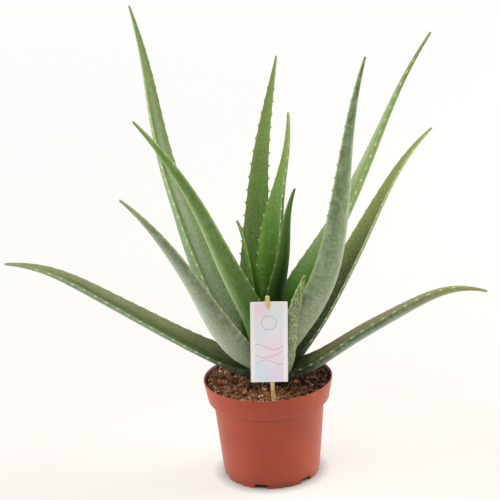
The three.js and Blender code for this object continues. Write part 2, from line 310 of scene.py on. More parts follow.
def finish(
    piece: Piece,
    name: str,
    node: str,
    material: Material,
    crease: float = 40,
    stands_for: bool = True,
) -> None:
    """Completes a piece: its place goes into its mesh, and it is dressed and set on the plant.

    Args:
        piece: The mesh object.
        name: Its name from now on.
        node: The CAD node that it belongs to, which is hidden when the piece stands for it.
        material: Its finish, unless it has its own already.
        crease: Edges sharper than this many degrees stay crisp.
        stands_for: Whether it takes the place of the node.
    """
    activate(piece)
    bpy.ops.object.transform_apply(location=True, rotation=True, scale=True)
    bpy.ops.object.shade_smooth_by_angle(angle=math.radians(crease))
    piece.name = piece.data.name = name
    if not piece.data.materials:
        piece.data.materials.append(material)
    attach(piece, BODY)
    if stands_for:
        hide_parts(node)
    LOG.info("%s: %d faces", name, len(piece.data.polygons))


# ---------- studio ----------


@dataclass(frozen=True)
class Lamp:
    """A soft square lamp. Its place and its side are in millimetres and its power in watts."""

    name: str
    place: tuple[float, float, float]
    side: float
    power: float

    def hang(self, aim: Sequence[float]) -> None:
        """Hangs the lamp so that it faces the plant.

        Args:
            aim: The place that it faces, in millimetres.
        """
        way = Vector(aim) - Vector(self.place)
        bpy.ops.object.light_add(type="AREA", location=Vector(self.place) * MM)
        lamp = bpy.context.object
        lamp.name = self.name
        lamp.rotation_euler = way.to_track_quat("-Z", "Y").to_euler()
        lamp.data.size = self.side * MM
        lamp.data.energy = self.power


@dataclass(frozen=True)
class Studio:
    """A pale floor, soft light from all around, and the camera.

    The camera looks along +Y and down at the plant through a long lens, and is tipped a
    little to its side. The floor's tint and its painted glow change between the depths that
    are given here, and its glow also between two reaches from the pot's axis: more glow
    paints light into the pot's shade, and no glow under the pot paints a shadow there.
    """

    aim: tuple[float, float, float] = (-11, 0, 220.1)
    distance: float = 2000
    pitch: float = 19.6
    roll: float = -2.77
    lens: float = 158.1
    sensor: float = 36
    floor_size: float = 9000
    tint_depths: tuple[float, float] = (-500, 1200)
    glow_depths: tuple[float, float] = (300, 2000)
    near_glow: float = 0.45
    far_glow: float = 0.69
    shade_reaches: tuple[float, float] = (60, 220)
    shade_glow: float = 1.2
    under_pot_shadow_reaches: tuple[float, float] = (40, 56)
    sky: float = 0.85
    room: float = 0.25
    lamps: tuple[Lamp, ...] = (
        Lamp("front_light", (-600, -1200, 2300), 1200, 17),
        Lamp("left_light", (-1700, 0, 700), 1500, 20),
        Lamp("right_light", (1500, 350, 700), 1500, 27),
    )

    def build(self) -> None:
        """Makes the camera, the floor and the lights."""
        scene = bpy.context.scene
        scene.view_settings.view_transform = "Standard"
        scene.camera = self.camera()
        self.floor()
        for lamp in self.lamps:
            lamp.hang(self.aim)
        scene.world = self.surroundings()

    def camera(self) -> Piece:
        """Sets up the camera at the photo's viewing angle.

        Returns:
            The camera.
        """
        pitch, roll = math.radians(self.pitch), math.radians(self.roll)
        back = Vector((0, -math.cos(pitch), math.sin(pitch)))
        level = Vector((1, 0, 0))
        upright = Vector((0, math.sin(pitch), math.cos(pitch)))
        right = level * math.cos(roll) + upright * math.sin(roll)
        up = upright * math.cos(roll) - level * math.sin(roll)
        turn = Matrix((right, up, back)).transposed().to_4x4()
        place = (Vector(self.aim) + back * self.distance) * MM
        bpy.ops.object.camera_add()
        camera = bpy.context.object
        camera.matrix_world = Matrix.Translation(place) @ turn
        camera.data.lens = self.lens
        camera.data.sensor_width = self.sensor
        return camera

    def floor(self) -> Piece:
        """Lays a floor wide enough to fill the picture.

        Returns:
            The floor.
        """
        bpy.ops.mesh.primitive_plane_add(size=self.floor_size * MM)
        floor = bpy.context.object
        floor.name = "studio_floor"
        floor.data.materials.append(self.paper())
        return floor

    def paper(self) -> Material:
        """Matt white paper, lit so brightly that it looks even and has hardly a shadow.

        A part of its brightness is a painted glow of its own, which grows with the depth. More
        of it is painted in the pot's shade, and none under the pot, which paints a shadow there.

        Returns:
            The material.
        """
        paper = Surface("matt white paper", {"Roughness": 0.9, "Specular IOR Level": 0.2})
        place = paper.add("TexCoord", {}, "Object")
        depth = paper.add("SeparateXYZ", {0: place}, "Y")
        reach = paper.add("VectorMath", {0: place}, "Value", operation="LENGTH")
        near, far = self.tint_depths
        share = paper.add("MapRange", {"Value": depth, "From Min": near * MM, "From Max": far * MM})
        tint = paper.add("ValToRGB", {"Fac": share}, stops=[(0, "#b4b1ad"), (1, "#a9a9a8")])
        shine = paper.add("ValToRGB", {"Fac": share}, stops=[(0, "#faf6f0"), (1, "#faf9f8")])
        # Painted light: more glow in the pot's shade. Painted shadow: no glow under the pot,
        # where no light comes in.
        glow: object = 1.0
        for measure, (start, end), (least, most) in (
            (depth, self.glow_depths, (self.near_glow, self.far_glow)),
            (reach, self.shade_reaches, (self.shade_glow, 1.0)),
            (reach, self.under_pot_shadow_reaches, (0.0, 1.0)),
        ):
            spread = {"From Min": start * MM, "From Max": end * MM, "To Min": least, "To Max": most}
            part = paper.add("MapRange", {"Value": measure, **spread})
            glow = paper.add("Math", {0: glow, 1: part}, operation="MULTIPLY")
        paper.connect(
            paper.shader, {"Base Color": tint, "Emission Color": shine, "Emission Strength": glow}
        )
        return paper.material

    def surroundings(self) -> bpy.types.World:
        """The studio's white walls, and the darker room on the camera's side.

        Returns:
            The world.
        """
        world = bpy.data.worlds.new("white studio")
        world.use_nodes = True
        walls = Nodes(world.node_tree)
        way = walls.add("TexCoord", {}, "Generated")
        ahead = walls.add("SeparateXYZ", {0: way}, "Y")
        fade = {"From Min": -0.9, "From Max": 0.3, "To Min": self.room, "To Max": self.sky}
        light = walls.add("MapRange", {"Value": ahead, **fade})
        background = world.node_tree.nodes["Background"]
        walls.connect(background, {"Color": linear("#fffdfa"), "Strength": light})
        return world


# ---------- pot ----------


@dataclass(frozen=True)
class NurseryPot:
    """A pot injection moulded in terracotta-coloured polypropylene.

    It has a band round its rim, a foot with notches that let water run off, and drain holes.
    """

    height: float = 95
    wall: float = 1.4
    lip_radius: float = 60
    lip_round: float = 0.7
    band_radius: float = 56.3
    band_height: float = 20
    band_round: float = 0.9
    shoulder_drop: float = 2.5
    neck_radius: float = 51.5
    belly_radius: float = 45.2
    foot_radius: float = 43.8
    foot_height: float = 5
    foot_taper: float = 0.8
    foot_round: float = 0.5
    floor_z: float = 4
    pad_radius: float = 12
    pad_taper: float = 1
    sides: int = 160
    edge_round: float = 0.3
    notches: int = 6
    notch_heading: float = -105
    notch_depth: float = 12
    notch_width: float = 12
    notch_height: float = 4
    small_notch_width: float = 7
    small_notch_height: float = 1.5
    drain_radius: float = 4
    drain_ring: float = 27
    drain_sides: int = 24
    dust_height: float = 12
    crease_shade_reach: float = 1.2
    dark_inside_drop: float = 1.2
    dark_inside_fade: float = 1

    @property
    def band_z(self) -> float:
        """Height of the band's lower edge."""
        return self.height - self.band_height

    @property
    def neck_z(self) -> float:
        """Height of the crease under the band."""
        return self.band_z - self.shoulder_drop

    def stations(self) -> list[tuple[float, float]]:
        """Lists the rings of the pot's wall, from under the pad, over the lip, to the inner floor.

        Returns:
            The radius and height of each.
        """
        floor_top = self.floor_z + self.wall
        return [
            (self.pad_radius, 0),
            (self.pad_radius + self.pad_taper, self.floor_z),
            (self.foot_radius - self.wall - self.foot_taper, self.floor_z),
            (self.foot_radius - self.wall, 0),
            (self.foot_radius, 0),
            (self.foot_radius, self.foot_height - self.foot_round),
            (self.belly_radius, self.foot_height + self.foot_round),
            (self.neck_radius, self.neck_z),
            (self.band_radius - self.band_round, self.band_z - self.band_round),
            (self.band_radius, self.band_z),
            (self.lip_radius, self.height - self.lip_round),
            (self.lip_radius - self.lip_round, self.height),
            (self.lip_radius - self.wall, self.height - self.lip_round),
            (self.inner_radius(self.band_z), self.band_z),
            (self.inner_radius(self.neck_z), self.neck_z),
            (self.inner_radius(floor_top), floor_top),
            (self.pad_radius, floor_top),
            (self.pad_radius - self.pad_taper, self.wall),
        ]

    def inner_radius(self, z: float) -> float:
        """Finds the radius inside the wall.

        Args:
            z: A height in millimetres.

        Returns:
            The radius there, in millimetres.
        """
        heights = (self.foot_height, self.neck_z, self.band_z, self.height)
        radii = (self.belly_radius, self.neck_radius, self.band_radius, self.lip_radius)
        return float(np.interp(z, heights, radii)) - self.wall

    def build(self) -> None:
        """Models and dresses the pot."""
        pot = turned(self.stations(), self.sides)
        soften(pot, self.edge_round, 3, 25)
        cutter = self.cutter()
        modify(pot, "BOOLEAN", operation="DIFFERENCE", solver="EXACT", object=cutter)
        bpy.data.objects.remove(cutter)
        finish(pot, "pot_moulding", "pot", self.plastic(), crease=30)

    def cutter(self) -> Piece:
        """Makes blocks for the notches and drills for the drain holes.

        Returns:
            All of them, joined in one object.
        """
        step = 360 / self.notches
        tools = []
        for i in range(self.notches):
            heading = self.notch_heading + i * step
            between = heading + step / 2
            tools.append(self.notch(heading, self.notch_width, self.notch_height))
            tools.append(self.notch(between, self.small_notch_width, self.small_notch_height))
            bpy.ops.mesh.primitive_cylinder_add(
                vertices=self.drain_sides,
                radius=self.drain_radius * MM,
                depth=2 * self.floor_z * MM,
                location=self.around(heading, self.drain_ring, self.floor_z),
            )
            tools.append(bpy.context.object)
        bpy.ops.object.select_all(action="DESELECT")
        for tool in tools:
            tool.select_set(True)
        bpy.context.view_layer.objects.active = tools[0]
        bpy.ops.object.join()
        return tools[0]

    def notch(self, heading: float, width: float, height: float) -> Piece:
        """Makes a block across the foot ring.

        Args:
            heading: Where it stands around the pot, in degrees.
            width: Its width along the ring.
            height: How high it cuts.

        Returns:
            The block.
        """
        bpy.ops.mesh.primitive_cube_add(
            size=1,
            location=self.around(heading, self.foot_radius, 0),
            rotation=(0, 0, math.radians(heading)),
            scale=(self.notch_depth * MM, width * MM, 2 * height * MM),
        )
        return bpy.context.object

    def around(self, heading: float, radius: float, z: float) -> Vector:
        """A place in metres at a heading, a radius and a height in millimetres."""
        angle = math.radians(heading)
        return Vector((radius * math.cos(angle), radius * math.sin(angle), z)) * MM

    def plastic(self) -> Material:
        """Moulded polypropylene: satin, evenly coloured, with a faint flow and fine scuffs.

        Dust lies on the foot, painted shade darkens the crease under the band, and the wall is
        darker inside, from a little below the lip down.

        Returns:
            The material.
        """
        gloss = {"IOR": 1.49, "Specular IOR Level": 0.5}
        skin = Surface("moulded polypropylene", {**gloss, "Sheen Weight": 0.18, "Sheen Roughness": 0.4})
        place = skin.add("TexCoord", {}, "Object")
        z = skin.add("SeparateXYZ", {0: place}, "Z")
        flow = skin.add("TexNoise", {"Vector": place, "Scale": per(38), "Detail": 2})
        colour = skin.add("ValToRGB", {"Fac": flow}, stops=[(0.3, "#9c3816"), (0.7, "#aa401c")])
        # The scuffs are drawn 1.6 mm wide, coarser than real ones, so that they show.
        scuffs = skin.add("TexNoise", {"Vector": place, "Scale": per(1.6), "Detail": 4})
        low = {"Value": z, "From Min": self.dust_height * MM, "From Max": 0}
        dusty = skin.add("MapRange", {**low, "To Max": 0.35})
        dust = skin.add("Math", {0: dusty, 1: scuffs}, operation="MULTIPLY")
        # Painted shade: the crease under the band is darkened as if in shadow.
        above = skin.add("Math", {0: z, 1: self.neck_z * MM}, operation="SUBTRACT")
        off = skin.add("Math", {0: above}, operation="ABSOLUTE")
        near = {"Value": off, "From Min": self.crease_shade_reach * MM, "From Max": 0}
        crease_shade = skin.add("MapRange", {**near, "To Max": 0.9})
        dark_inside = self.dark_inside(skin, place, z)
        # Dust on the foot, painted shade in the crease, and the inner wall darkened below the lip.
        for factor, stain_and_shade in ((dust, "#7d4632"), (crease_shade, "#4c1a0a"), (dark_inside, "#3a1a10")):
            colour = skin.add(
                "Mix", {FACTOR: factor, FIRST: colour, SECOND: linear(stain_and_shade)}, MIXED, data_type="RGBA"
            )
        satin = skin.add("MapRange", {"Value": scuffs, "To Min": 0.5, "To Max": 0.62})
        relief = skin.add("Bump", {"Height": scuffs, "Strength": 0.05, "Distance": 0.1 * MM})
        skin.connect(skin.shader, {"Base Color": colour, "Roughness": satin, "Normal": relief})
        return skin.material

    def dark_inside(self, skin: Surface, place: Socket, z: Socket) -> Socket:
        """Finds where the wall is darkened: on what looks inwards, up to below the lip.

        Args:
            skin: The material that it is found in.
            place: The place on the pot.
            z: Its height.

        Returns:
            1 where the wall is darkened and 0 elsewhere.
        """
        outward = skin.add("VectorMath", {0: place, 1: (1.0, 1.0, 0.0)}, operation="MULTIPLY")
        looks = skin.add("NewGeometry", {}, "Normal")
        facing = skin.add("VectorMath", {0: outward, 1: looks}, "Value", operation="DOT_PRODUCT")
        inside = skin.add("MapRange", {"Value": facing, "From Min": -0.01, "From Max": -0.03})
        clean_z, fade = (self.height - self.dark_inside_drop) * MM, self.dark_inside_fade * MM
        ends = {"From Min": clean_z + fade, "From Max": clean_z - fade}
        below = skin.add("MapRange", {"Value": z, **ends})
        return skin.add("Math", {0: inside, 1: below}, operation="MULTIPLY")


# ---------- soil ----------


class Crumb(Enum):
    """The kinds of loose stuff in the soil, each with the hex colours it runs through."""

    PEAT = ("#140703", "#aa6a44")
    GRIT = ("#8a5a2c", "#ffe8c4")
    BARK = ("#6a3c1a", "#ba8044")
    FIBRE = ("#54361f", "#b8946a")


@dataclass(frozen=True)
class Spread:
    """How one kind of stuff lies on the soil.

    count is how many pieces there are, and smallest and largest are their sizes. stretch is
    a piece's length, breadth and height in sizes.
    """

    kind: Crumb
    count: int
    smallest: float
    largest: float
    stretch: tuple[float, float, float]


@dataclass(frozen=True)
class PottingSoil:
    """Moist peat in a shallow dish, with crumbs, grit, bark chips and fibres on it.

    Its top is lumpy by bump and crumbly by crumble, each at its own pitch. A loose piece's
    tone is partly its own, by own_tone, and partly that of its patch, by patch_tone, less
    base_tone. On the right the pieces are darker by right_shade_tone, from right_shade_from on
    and fully after right_shade_reach: painted shade, as in the shadow of the low leaf there. A
    piece is tipped by up to tilt radians, and lifted between the two shares of its thickness
    in lift. unevenness is a share of a piece's size.
    """

    middle_z: float = 87
    bump: float = 1.2
    lump_pitch: float = 17
    crumble: float = 0.7
    crumble_pitch: float = 3
    gap: float = 0.3
    bottom_round: float = 2
    rings: int = 30
    sides: int = 160
    shapes: int = 6
    unevenness: float = 0.28
    chip_bevel: float = 0.14
    margin: float = 1.5
    tilt: float = 0.5
    lift: tuple[float, float] = (-0.1, 0.45)
    patch_size: float = 7
    own_tone: float = 0.6
    patch_tone: float = 0.8
    base_tone: float = 0.16
    right_shade_tone: float = 0.42
    right_shade_from: float = 10
    right_shade_reach: float = 25
    spreads: tuple[Spread, ...] = (
        Spread(Crumb.PEAT, 5200, 0.8, 2.4, (1.2, 1.0, 0.8)),
        Spread(Crumb.GRIT, 1500, 0.8, 1.9, (1.2, 1.0, 0.8)),
        Spread(Crumb.BARK, 36, 2.2, 4.6, (1.4, 0.9, 0.6)),
        Spread(Crumb.FIBRE, 260, 2.5, 6.0, (1.6, 0.12, 0.12)),
    )

    def build(self) -> None:
        """Models the bed, and strews each kind of stuff over it."""
        low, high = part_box("soil")
        radius = (high.x - low.x) / 2
        draw = random.Random(11)
        bed = self.bed(radius, high.z)
        finish(bed, "soil_bed", "soil", self.peat())
        for spread in self.spreads:
            piece = self.strew(spread, radius, high.z, draw)
            name = "soil_" + spread.kind.name.lower()
            finish(piece, name, "soil", self.stuff(spread.kind), crease=20, stands_for=False)

    def surface(self, x: float, y: float, radius: float, edge_z: float) -> float:
        """Finds the height of the soil: a shallow dish with soft lumps.

        Args:
            x: Place to the right of the middle.
            y: Place behind the middle.
            radius: The soil's radius.
            edge_z: Its height at the pot's wall.

        Returns:
            The height. It is in metres, as the rest is.
        """
        reach = math.hypot(x, y)
        turn = math.atan2(y, x)
        share = reach / radius
        base = self.middle_z * MM + (edge_z - self.middle_z * MM) * share * share
        wave = math.tau * reach / (self.lump_pitch * MM)
        lumps = (math.sin(wave + 2 * turn) + math.cos(wave / 2 - 3 * turn)) / 2
        return base + self.bump * MM * lumps * math.sin(math.pi * min(share, 1))

    def bed(self, radius: float, high: float) -> Piece:
        """Models the body of the soil, which fills the pot and has a rough top.

        Args:
            radius: Its radius at the top.
            high: Height of its top at the pot's wall.

        Returns:
            The piece.
        """
        pot = NurseryPot()
        bottom_z = pot.floor_z + pot.wall + self.gap
        levels = (bottom_z + self.bottom_round, pot.neck_z, pot.band_z)
        rings = [(pot.inner_radius(z) - self.gap, z) for z in levels]
        foot = (rings[0][0] - self.bottom_round, bottom_z)
        bed = turned([foot, *rings, (radius / MM, high / MM)], self.sides)
        with editing(bed):
            choose(bed, Part.FACE, lambda face: face.normal.z > 0.9)
            for _ in range(self.rings - 1):
                bpy.ops.mesh.inset(thickness=radius / self.rings)
            bpy.ops.mesh.poke()
        points = read_points(bed)
        for point in points:
            if point[2] > high - MM:
                x, y = point[0], point[1]
                rough = noise.fractal(Vector((x, y, 0)) * per(self.crumble_pitch), 1.0, 2.0, 3)
                at_wall = math.hypot(x, y) > radius - MM / 2
                rise = 0 if at_wall else rough * self.crumble * MM
                point[2] = self.surface(x, y, radius, high) + rise
        write_points(bed, points)
        return bed

    def shape(self, kind: Crumb, draw: random.Random) -> tuple[np.ndarray, list[tuple[int, ...]]]:
        """Models one rough crumb or splinter.

        Args:
            kind: What it is a piece of.
            draw: The source of its unevenness.

        Returns:
            Its points, about as long as 1, and its faces.
        """
        if kind in (Crumb.BARK, Crumb.FIBRE):
            bpy.ops.mesh.primitive_cube_add(size=1)
        else:
            bpy.ops.mesh.primitive_ico_sphere_add(subdivisions=1, radius=0.5)
        piece = bpy.context.object
        if kind is Crumb.BARK:
            with editing(piece, Part.EDGE):
                bpy.ops.mesh.select_all(action="SELECT")
                bpy.ops.mesh.bevel(offset=self.chip_bevel, segments=1)
        points = read_points(piece)
        for point in points:
            point *= 1 + draw.uniform(-self.unevenness, self.unevenness)
        faces = [tuple(face.vertices) for face in piece.data.polygons]
        bpy.data.objects.remove(piece)
        return points, faces

    def strew(
        self, spread: Spread, radius: float, edge_z: float, draw: random.Random
    ) -> Piece:
        """Strews copies of a few rough shapes over the soil, as one piece.

        Args:
            spread: What is strewn, how much of it and how large.
            radius: The soil's radius.
            edge_z: The soil's height at the pot's wall.
            draw: The source of the places, turns and sizes.

        Returns:
            The piece, with each copy's tone in the attribute tone.
        """
        shapes = [self.shape(spread.kind, draw) for _ in range(self.shapes)]
        points, faces, tones = [], [], []
        first = 0
        for _ in range(spread.count):
            form, form_faces = draw.choice(shapes)
            size = draw.uniform(spread.smallest, spread.largest) * MM
            reach = (radius - self.margin * MM) * math.sqrt(draw.random())
            turn = draw.uniform(0, math.tau)
            x, y = reach * math.cos(turn), reach * math.sin(turn)
            spin = Matrix.Rotation(draw.uniform(0, math.tau), 3, "Z")
            tip = Matrix.Rotation(draw.uniform(-self.tilt, self.tilt), 3, "X")
            roll = Matrix.Rotation(draw.uniform(-self.tilt, self.tilt), 3, "Y")
            copy_turn = np.array(spin @ tip @ roll)
            thickness = spread.stretch[2] * size
            z = self.surface(x, y, radius, edge_z) + thickness * draw.uniform(*self.lift)
            points.append((form * np.array(spread.stretch) * size) @ copy_turn.T + (x, y, z))
            faces.extend(tuple(first + corner for corner in face) for face in form_faces)
            first += len(form)
            patch = 0.5 + noise.noise(Vector((x, y, 0)) * per(self.patch_size))
            # Painted shade: the pieces on the right are darker, as in the shadow of the low leaf there.
            right_shade = min(max(x / MM - self.right_shade_from, 0) / self.right_shade_reach, 1)
            light = self.own_tone * draw.random() + self.patch_tone * patch
            tones.extend([(light - self.base_tone - self.right_shade_tone * right_shade, 0, 0)] * len(form))
        mesh = bpy.data.meshes.new("strewn")
        mesh.from_pydata(np.concatenate(points).tolist(), [], faces)
        piece = bpy.data.objects.new("strewn", mesh)
        bpy.context.scene.collection.objects.link(piece)
        note_points(piece, "tone", np.array(tones))
        return piece

    def peat(self) -> Material:
        """Moist peat: brown and matt on its crumbs, and painted nearly black in its hollows, partly as
        shade.

        Returns:
            The material.
        """
        soil = Surface("moist peat", {"Roughness": 0.95, "Specular IOR Level": 0.25})
        place = soil.add("TexCoord", {}, "Object")
        crumbs_and_shade = soil.add("TexNoise", {"Vector": place, "Scale": per(2.2), "Detail": 5})
        # Partly painted shade: the colour follows the relief, nearly black in the hollows.
        colour = soil.add("ValToRGB", {"Fac": crumbs_and_shade}, stops=[(0.35, "#0e0704"), (0.68, "#3c2416")])
        relief = soil.add("Bump", {"Height": crumbs_and_shade, "Strength": 0.9, "Distance": 1.2 * MM})
        soil.connect(soil.shader, {"Base Color": colour, "Normal": relief})
        return soil.material

    def stuff(self, kind: Crumb) -> Material:
        """Loose stuff: matt and rough, with a tone that changes from piece to piece.

        Args:
            kind: What it is.

        Returns:
            The material.
        """
        dark, pale = kind.value
        stuff = Surface("loose " + kind.name.lower(), {"Roughness": 0.85, "Specular IOR Level": 0.3})
        # The tone also carries painted shade on the right of the soil.
        tone = stuff.add("Attribute", {}, "Vector", attribute_name="tone")
        share = stuff.add("SeparateXYZ", {0: tone}, "X")
        place = stuff.add("TexCoord", {}, "Object")
        speck = stuff.add("TexNoise", {"Vector": place, "Scale": per(0.8), "Detail": 3})
        both = stuff.add("Math", {0: speck, 1: 0.3, 2: share}, operation="MULTIPLY_ADD")
        colour = stuff.add("ValToRGB", {"Fac": both}, stops=[(0.2, dark), (1.0, pale)])
        relief = stuff.add("Bump", {"Height": speck, "Strength": 0.5, "Distance": 0.3 * MM})
        stuff.connect(stuff.shader, {"Base Color": colour, "Normal": relief})
        return stuff.material


# ---------- stem ----------


@dataclass(frozen=True)
class RosetteStem:
    """The short stem under the rosette, ringed by the scars of fallen leaves."""

    bottom_z: float = 68
    root_radius: float = 6.5
    neck_z: float = 104
    neck_radius: float = 7.5
    top_z: float = 124
    top_radius: float = 4
    scar_pitch: float = 4
    scar_depth: float = 0.35
    sides: int = 48

    def build(self) -> None:
        """Models the stem from the root end up, with a step at each scar."""
        steps = round((self.top_z - self.bottom_z) / self.scar_pitch) * 2
        rings = []
        for i in range(steps + 1):
            z = self.bottom_z + (self.top_z - self.bottom_z) * i / steps
            rings.append((self.radius(z) - (self.scar_depth if i % 2 else 0), z))
        stem = turned(rings, self.sides)
        finish(stem, "stem_scarred", "stem", self.rind())

    def radius(self, z: float) -> float:
        """The stem's radius at a height, both in millimetres."""
        heights = (self.bottom_z, self.neck_z, self.top_z)
        return float(np.interp(z, heights, (self.root_radius, self.neck_radius, self.top_radius)))

    def rind(self) -> Material:
        """Fleshy rind: pale green with corky brown rings, where leaves have dried off.

        Returns:
            The material.
        """
        rind = Surface("corky rind", {"Roughness": 0.7})
        place = rind.add("TexCoord", {}, "Object")
        height = rind.add("SeparateXYZ", {0: place}, "Z")
        rings = rind.add("Math", {0: height, 1: per(self.scar_pitch)}, operation="MULTIPLY")
        part = rind.add("Math", {0: rings}, operation="FRACT")
        colour = rind.add("ValToRGB", {"Fac": part}, stops=[(0.1, "#7b6840"), (0.7, "#8d9a5e")])
        rind.connect(rind.shader, {"Base Color": colour})
        return rind.material


# ---------- leaves ----------


@dataclass(frozen=True)
class Layer:
    """A colour that is laid over those below it, by a factor from 0 to 1."""

    factor: Socket | float
    colour: Socket | tuple[float, float, float, float]
    blend: str = "MIX"


class Pattern(Enum):
    """The patterns in a leaf's skin.

    Each has its breadth and its length on the blade in millimetres, a shift by which the
    face differs from the back, a detail and a distortion. The cells are drawn 2 mm wide,
    coarser than real ones, so that they show.
    """

    FIBRES = (1.5, 45, 1.0, 3, 0.0)
    BLOTCHES = (5, 12, 3.0, 5, 0.0)
    CELLS = (2, 2.8, 5.0, 3, 0.0)
    BANDS = (24, 6, 7.0, 3, 2.0)
    RUBS = (10, 24, 1.5, 6, 1.4)


@dataclass(frozen=True)
class LeafSkin:
    """The skin of an aloe leaf: taut and satin, with a grey bloom of wax that rubs off.

    back and face are the colours of the two sides, evenly spaced across the blade from the
    margin on the left as the face is seen. Much of their change across a side is painted
    light: pale highlights where an edge is lit, and painted shade in a channel or on a side
    turned from the light. foot is the colour at the stem and tip at the point, and each fades
    out over its reach, a share of the length. A dark foot is mostly painted shade, where the
    stem and the leaves around it shade the blade. bloom, rubs, bands and flecks say how much
    wax shows, and how strong the rub marks, the pale bands across the blade and the flecks
    are, from 0 to 1.
    """

    back: tuple[str, ...]
    face: tuple[str, ...]
    foot: str
    tip: str
    foot_reach: float = 0.35
    tip_reach: float = 0.3
    bloom: float = 0.2
    rubs: float = 0.0
    bands: float = 0.0
    flecks: float = 0.0
    fleck_size: tuple[float, float] = (2.0, 4.4)
    fleck_colour: str = "#b9c9a3"
    rim: str = "#a6b886"
    tooth: str = "#dde2a4"


class LeafSurface(Surface):
    """The surface of a leaf, which reads the attributes blade and marks of the leaf."""

    def __init__(self, name: str, skin: LeafSkin) -> None:
        """Grows the skin: a living one, which light enters a little way.

        Its fibres and cells shade the colour, and the fibres give it a fine relief. It is
        duller where the wax lies thick.

        Args:
            name: The material's name.
            skin: Its colours and marks.
        """
        constants = {
            "IOR": 1.42,
            "Specular IOR Level": 0.25,
            "Subsurface Weight": 0.08,
            "Subsurface Radius": (0.6, 1.0, 0.3),
            "Subsurface Scale": 2 * MM,
        }
        super().__init__(name, constants)
        self.skin = skin
        self.blade = self.add("Attribute", {}, "Vector", attribute_name="blade")
        self.on_face = self.add("SeparateXYZ", {0: self.blade}, "Z")
        marks = self.add("Attribute", {}, "Vector", attribute_name="marks")
        self.share, self.across, self.teeth = self.add("SeparateXYZ", {0: marks}).node.outputs
        self.blotches = self.drawn(Pattern.BLOTCHES)
        fibres, cells = self.drawn(Pattern.FIBRES), self.drawn(Pattern.CELLS)
        both = self.add("Math", {0: fibres, 1: 0.5, 2: cells}, operation="MULTIPLY_ADD")
        depth = {"From Min": 0.45, "From Max": 1.05, "To Min": 0.76, "To Max": 1.24}
        shade = self.add("MapRange", {"Value": both, **depth})
        tone, face = self.sides()
        for layer in (
            Layer(self.on_face, face),
            *self.ends(),
            *self.wax(),
            *self.rubs(),
            *self.bands(),
            Layer(1.0, shade, "MULTIPLY"),
            *self.flecks(),
            *self.edges(),
        ):
            inputs = {FACTOR: layer.factor, FIRST: tone, SECOND: layer.colour}
            tone = self.add("Mix", inputs, MIXED, data_type="RGBA", blend_type=layer.blend)
        gloss = self.add("MapRange", {"Value": self.blotches, "To Min": 0.38, "To Max": 0.58})
        relief = self.add("Bump", {"Height": fibres, "Strength": 0.25, "Distance": 0.4 * MM})
        self.connect(self.shader, {"Base Color": tone, "Roughness": gloss, "Normal": relief})

    def drawn(self, pattern: Pattern) -> Socket:
        """Draws a pattern over the blade.

        Args:
            pattern: The pattern.

        Returns:
            How strong it is, mostly from 0.3 to 0.7.
        """
        breadth, length, shift, detail, distortion = pattern.value
        scale = (per(breadth), per(length), shift)
        place = self.add("VectorMath", {0: self.blade, 1: scale}, operation="MULTIPLY")
        waves = {"Scale": 1.0, "Detail": detail, "Distortion": distortion}
        return self.add("TexNoise", {"Vector": place, **waves})

    def sides(self) -> list[Socket]:
        """Colours the flesh across the blade.

        Returns:
            The colour of the back and that of the face.
        """
        spread = {"Value": self.across, "From Min": -1.0, "From Max": 1.0}
        across = self.add("MapRange", spread)
        tones = []
        for colours in (self.skin.back, self.skin.face):
            stops = [(i / (len(colours) - 1), colour) for i, colour in enumerate(colours)]
            tones.append(self.add("ValToRGB", {"Fac": across}, stops=stops))
        return tones

    def ends(self) -> Iterator[Layer]:
        """Colours the foot and the tip.

        Yields:
            A layer for each.
        """
        # The foot's colour is partly painted shade, dark where the stem and the leaves around it shade
        # the blade.
        skin = self.skin
        for colour, far, near in (
            (skin.foot, skin.foot_reach, 0.0),
            (skin.tip, 1 - skin.tip_reach, 1.0),
        ):
            fade = {"Value": self.share, "From Min": far, "From Max": near}
            reach = self.add("MapRange", fade, interpolation_type="SMOOTHSTEP")
            yield Layer(reach, linear(colour))

    def wax(self) -> Iterator[Layer]:
        """Lays the bloom of wax on, thickest on the back and in the blotches.

        Yields:
            Its layer.
        """
        depth = {"From Min": 0.38, "From Max": 0.66, "To Min": 0.1, "To Max": 1.2}
        thick = self.add("MapRange", {"Value": self.blotches, **depth})
        bloom = {"To Min": self.skin.bloom, "To Max": self.skin.bloom / 2}
        lying = self.add("MapRange", {"Value": self.on_face, **bloom})
        wax = self.add("Math", {0: thick, 1: lying}, operation="MULTIPLY")
        yield Layer(wax, linear("#b4bfaa"))

    def rubs(self) -> Iterator[Layer]:
        """Draws thin marks where the wax was rubbed.

        Yields:
            Their layer, if there are any.
        """
        if self.skin.rubs:
            off = self.add("Math", {0: self.drawn(Pattern.RUBS), 1: 0.5}, operation="SUBTRACT")
            gap = self.add("Math", {0: off}, operation="ABSOLUTE")
            line = {"From Min": 0.02, "From Max": 0.0, "To Max": self.skin.rubs}
            yield Layer(self.add("MapRange", {"Value": gap, **line}), linear("#c9d3c2"))

    def bands(self) -> Iterator[Layer]:
        """Draws pale bands across the blade, where it was pressed in the bud.

        Yields:
            Their layer, if there are any.
        """
        if self.skin.bands:
            top = {"From Min": 0.48, "From Max": 0.7, "To Max": self.skin.bands}
            crest = self.add("MapRange", {"Value": self.drawn(Pattern.BANDS), **top})
            crowd = {"Value": self.blotches, "From Min": 0.4, "From Max": 0.6}
            patch = self.add("MapRange", crowd)
            band = self.add("Math", {0: crest, 1: patch}, operation="MULTIPLY")
            yield Layer(band, linear("#c6ccb8"))

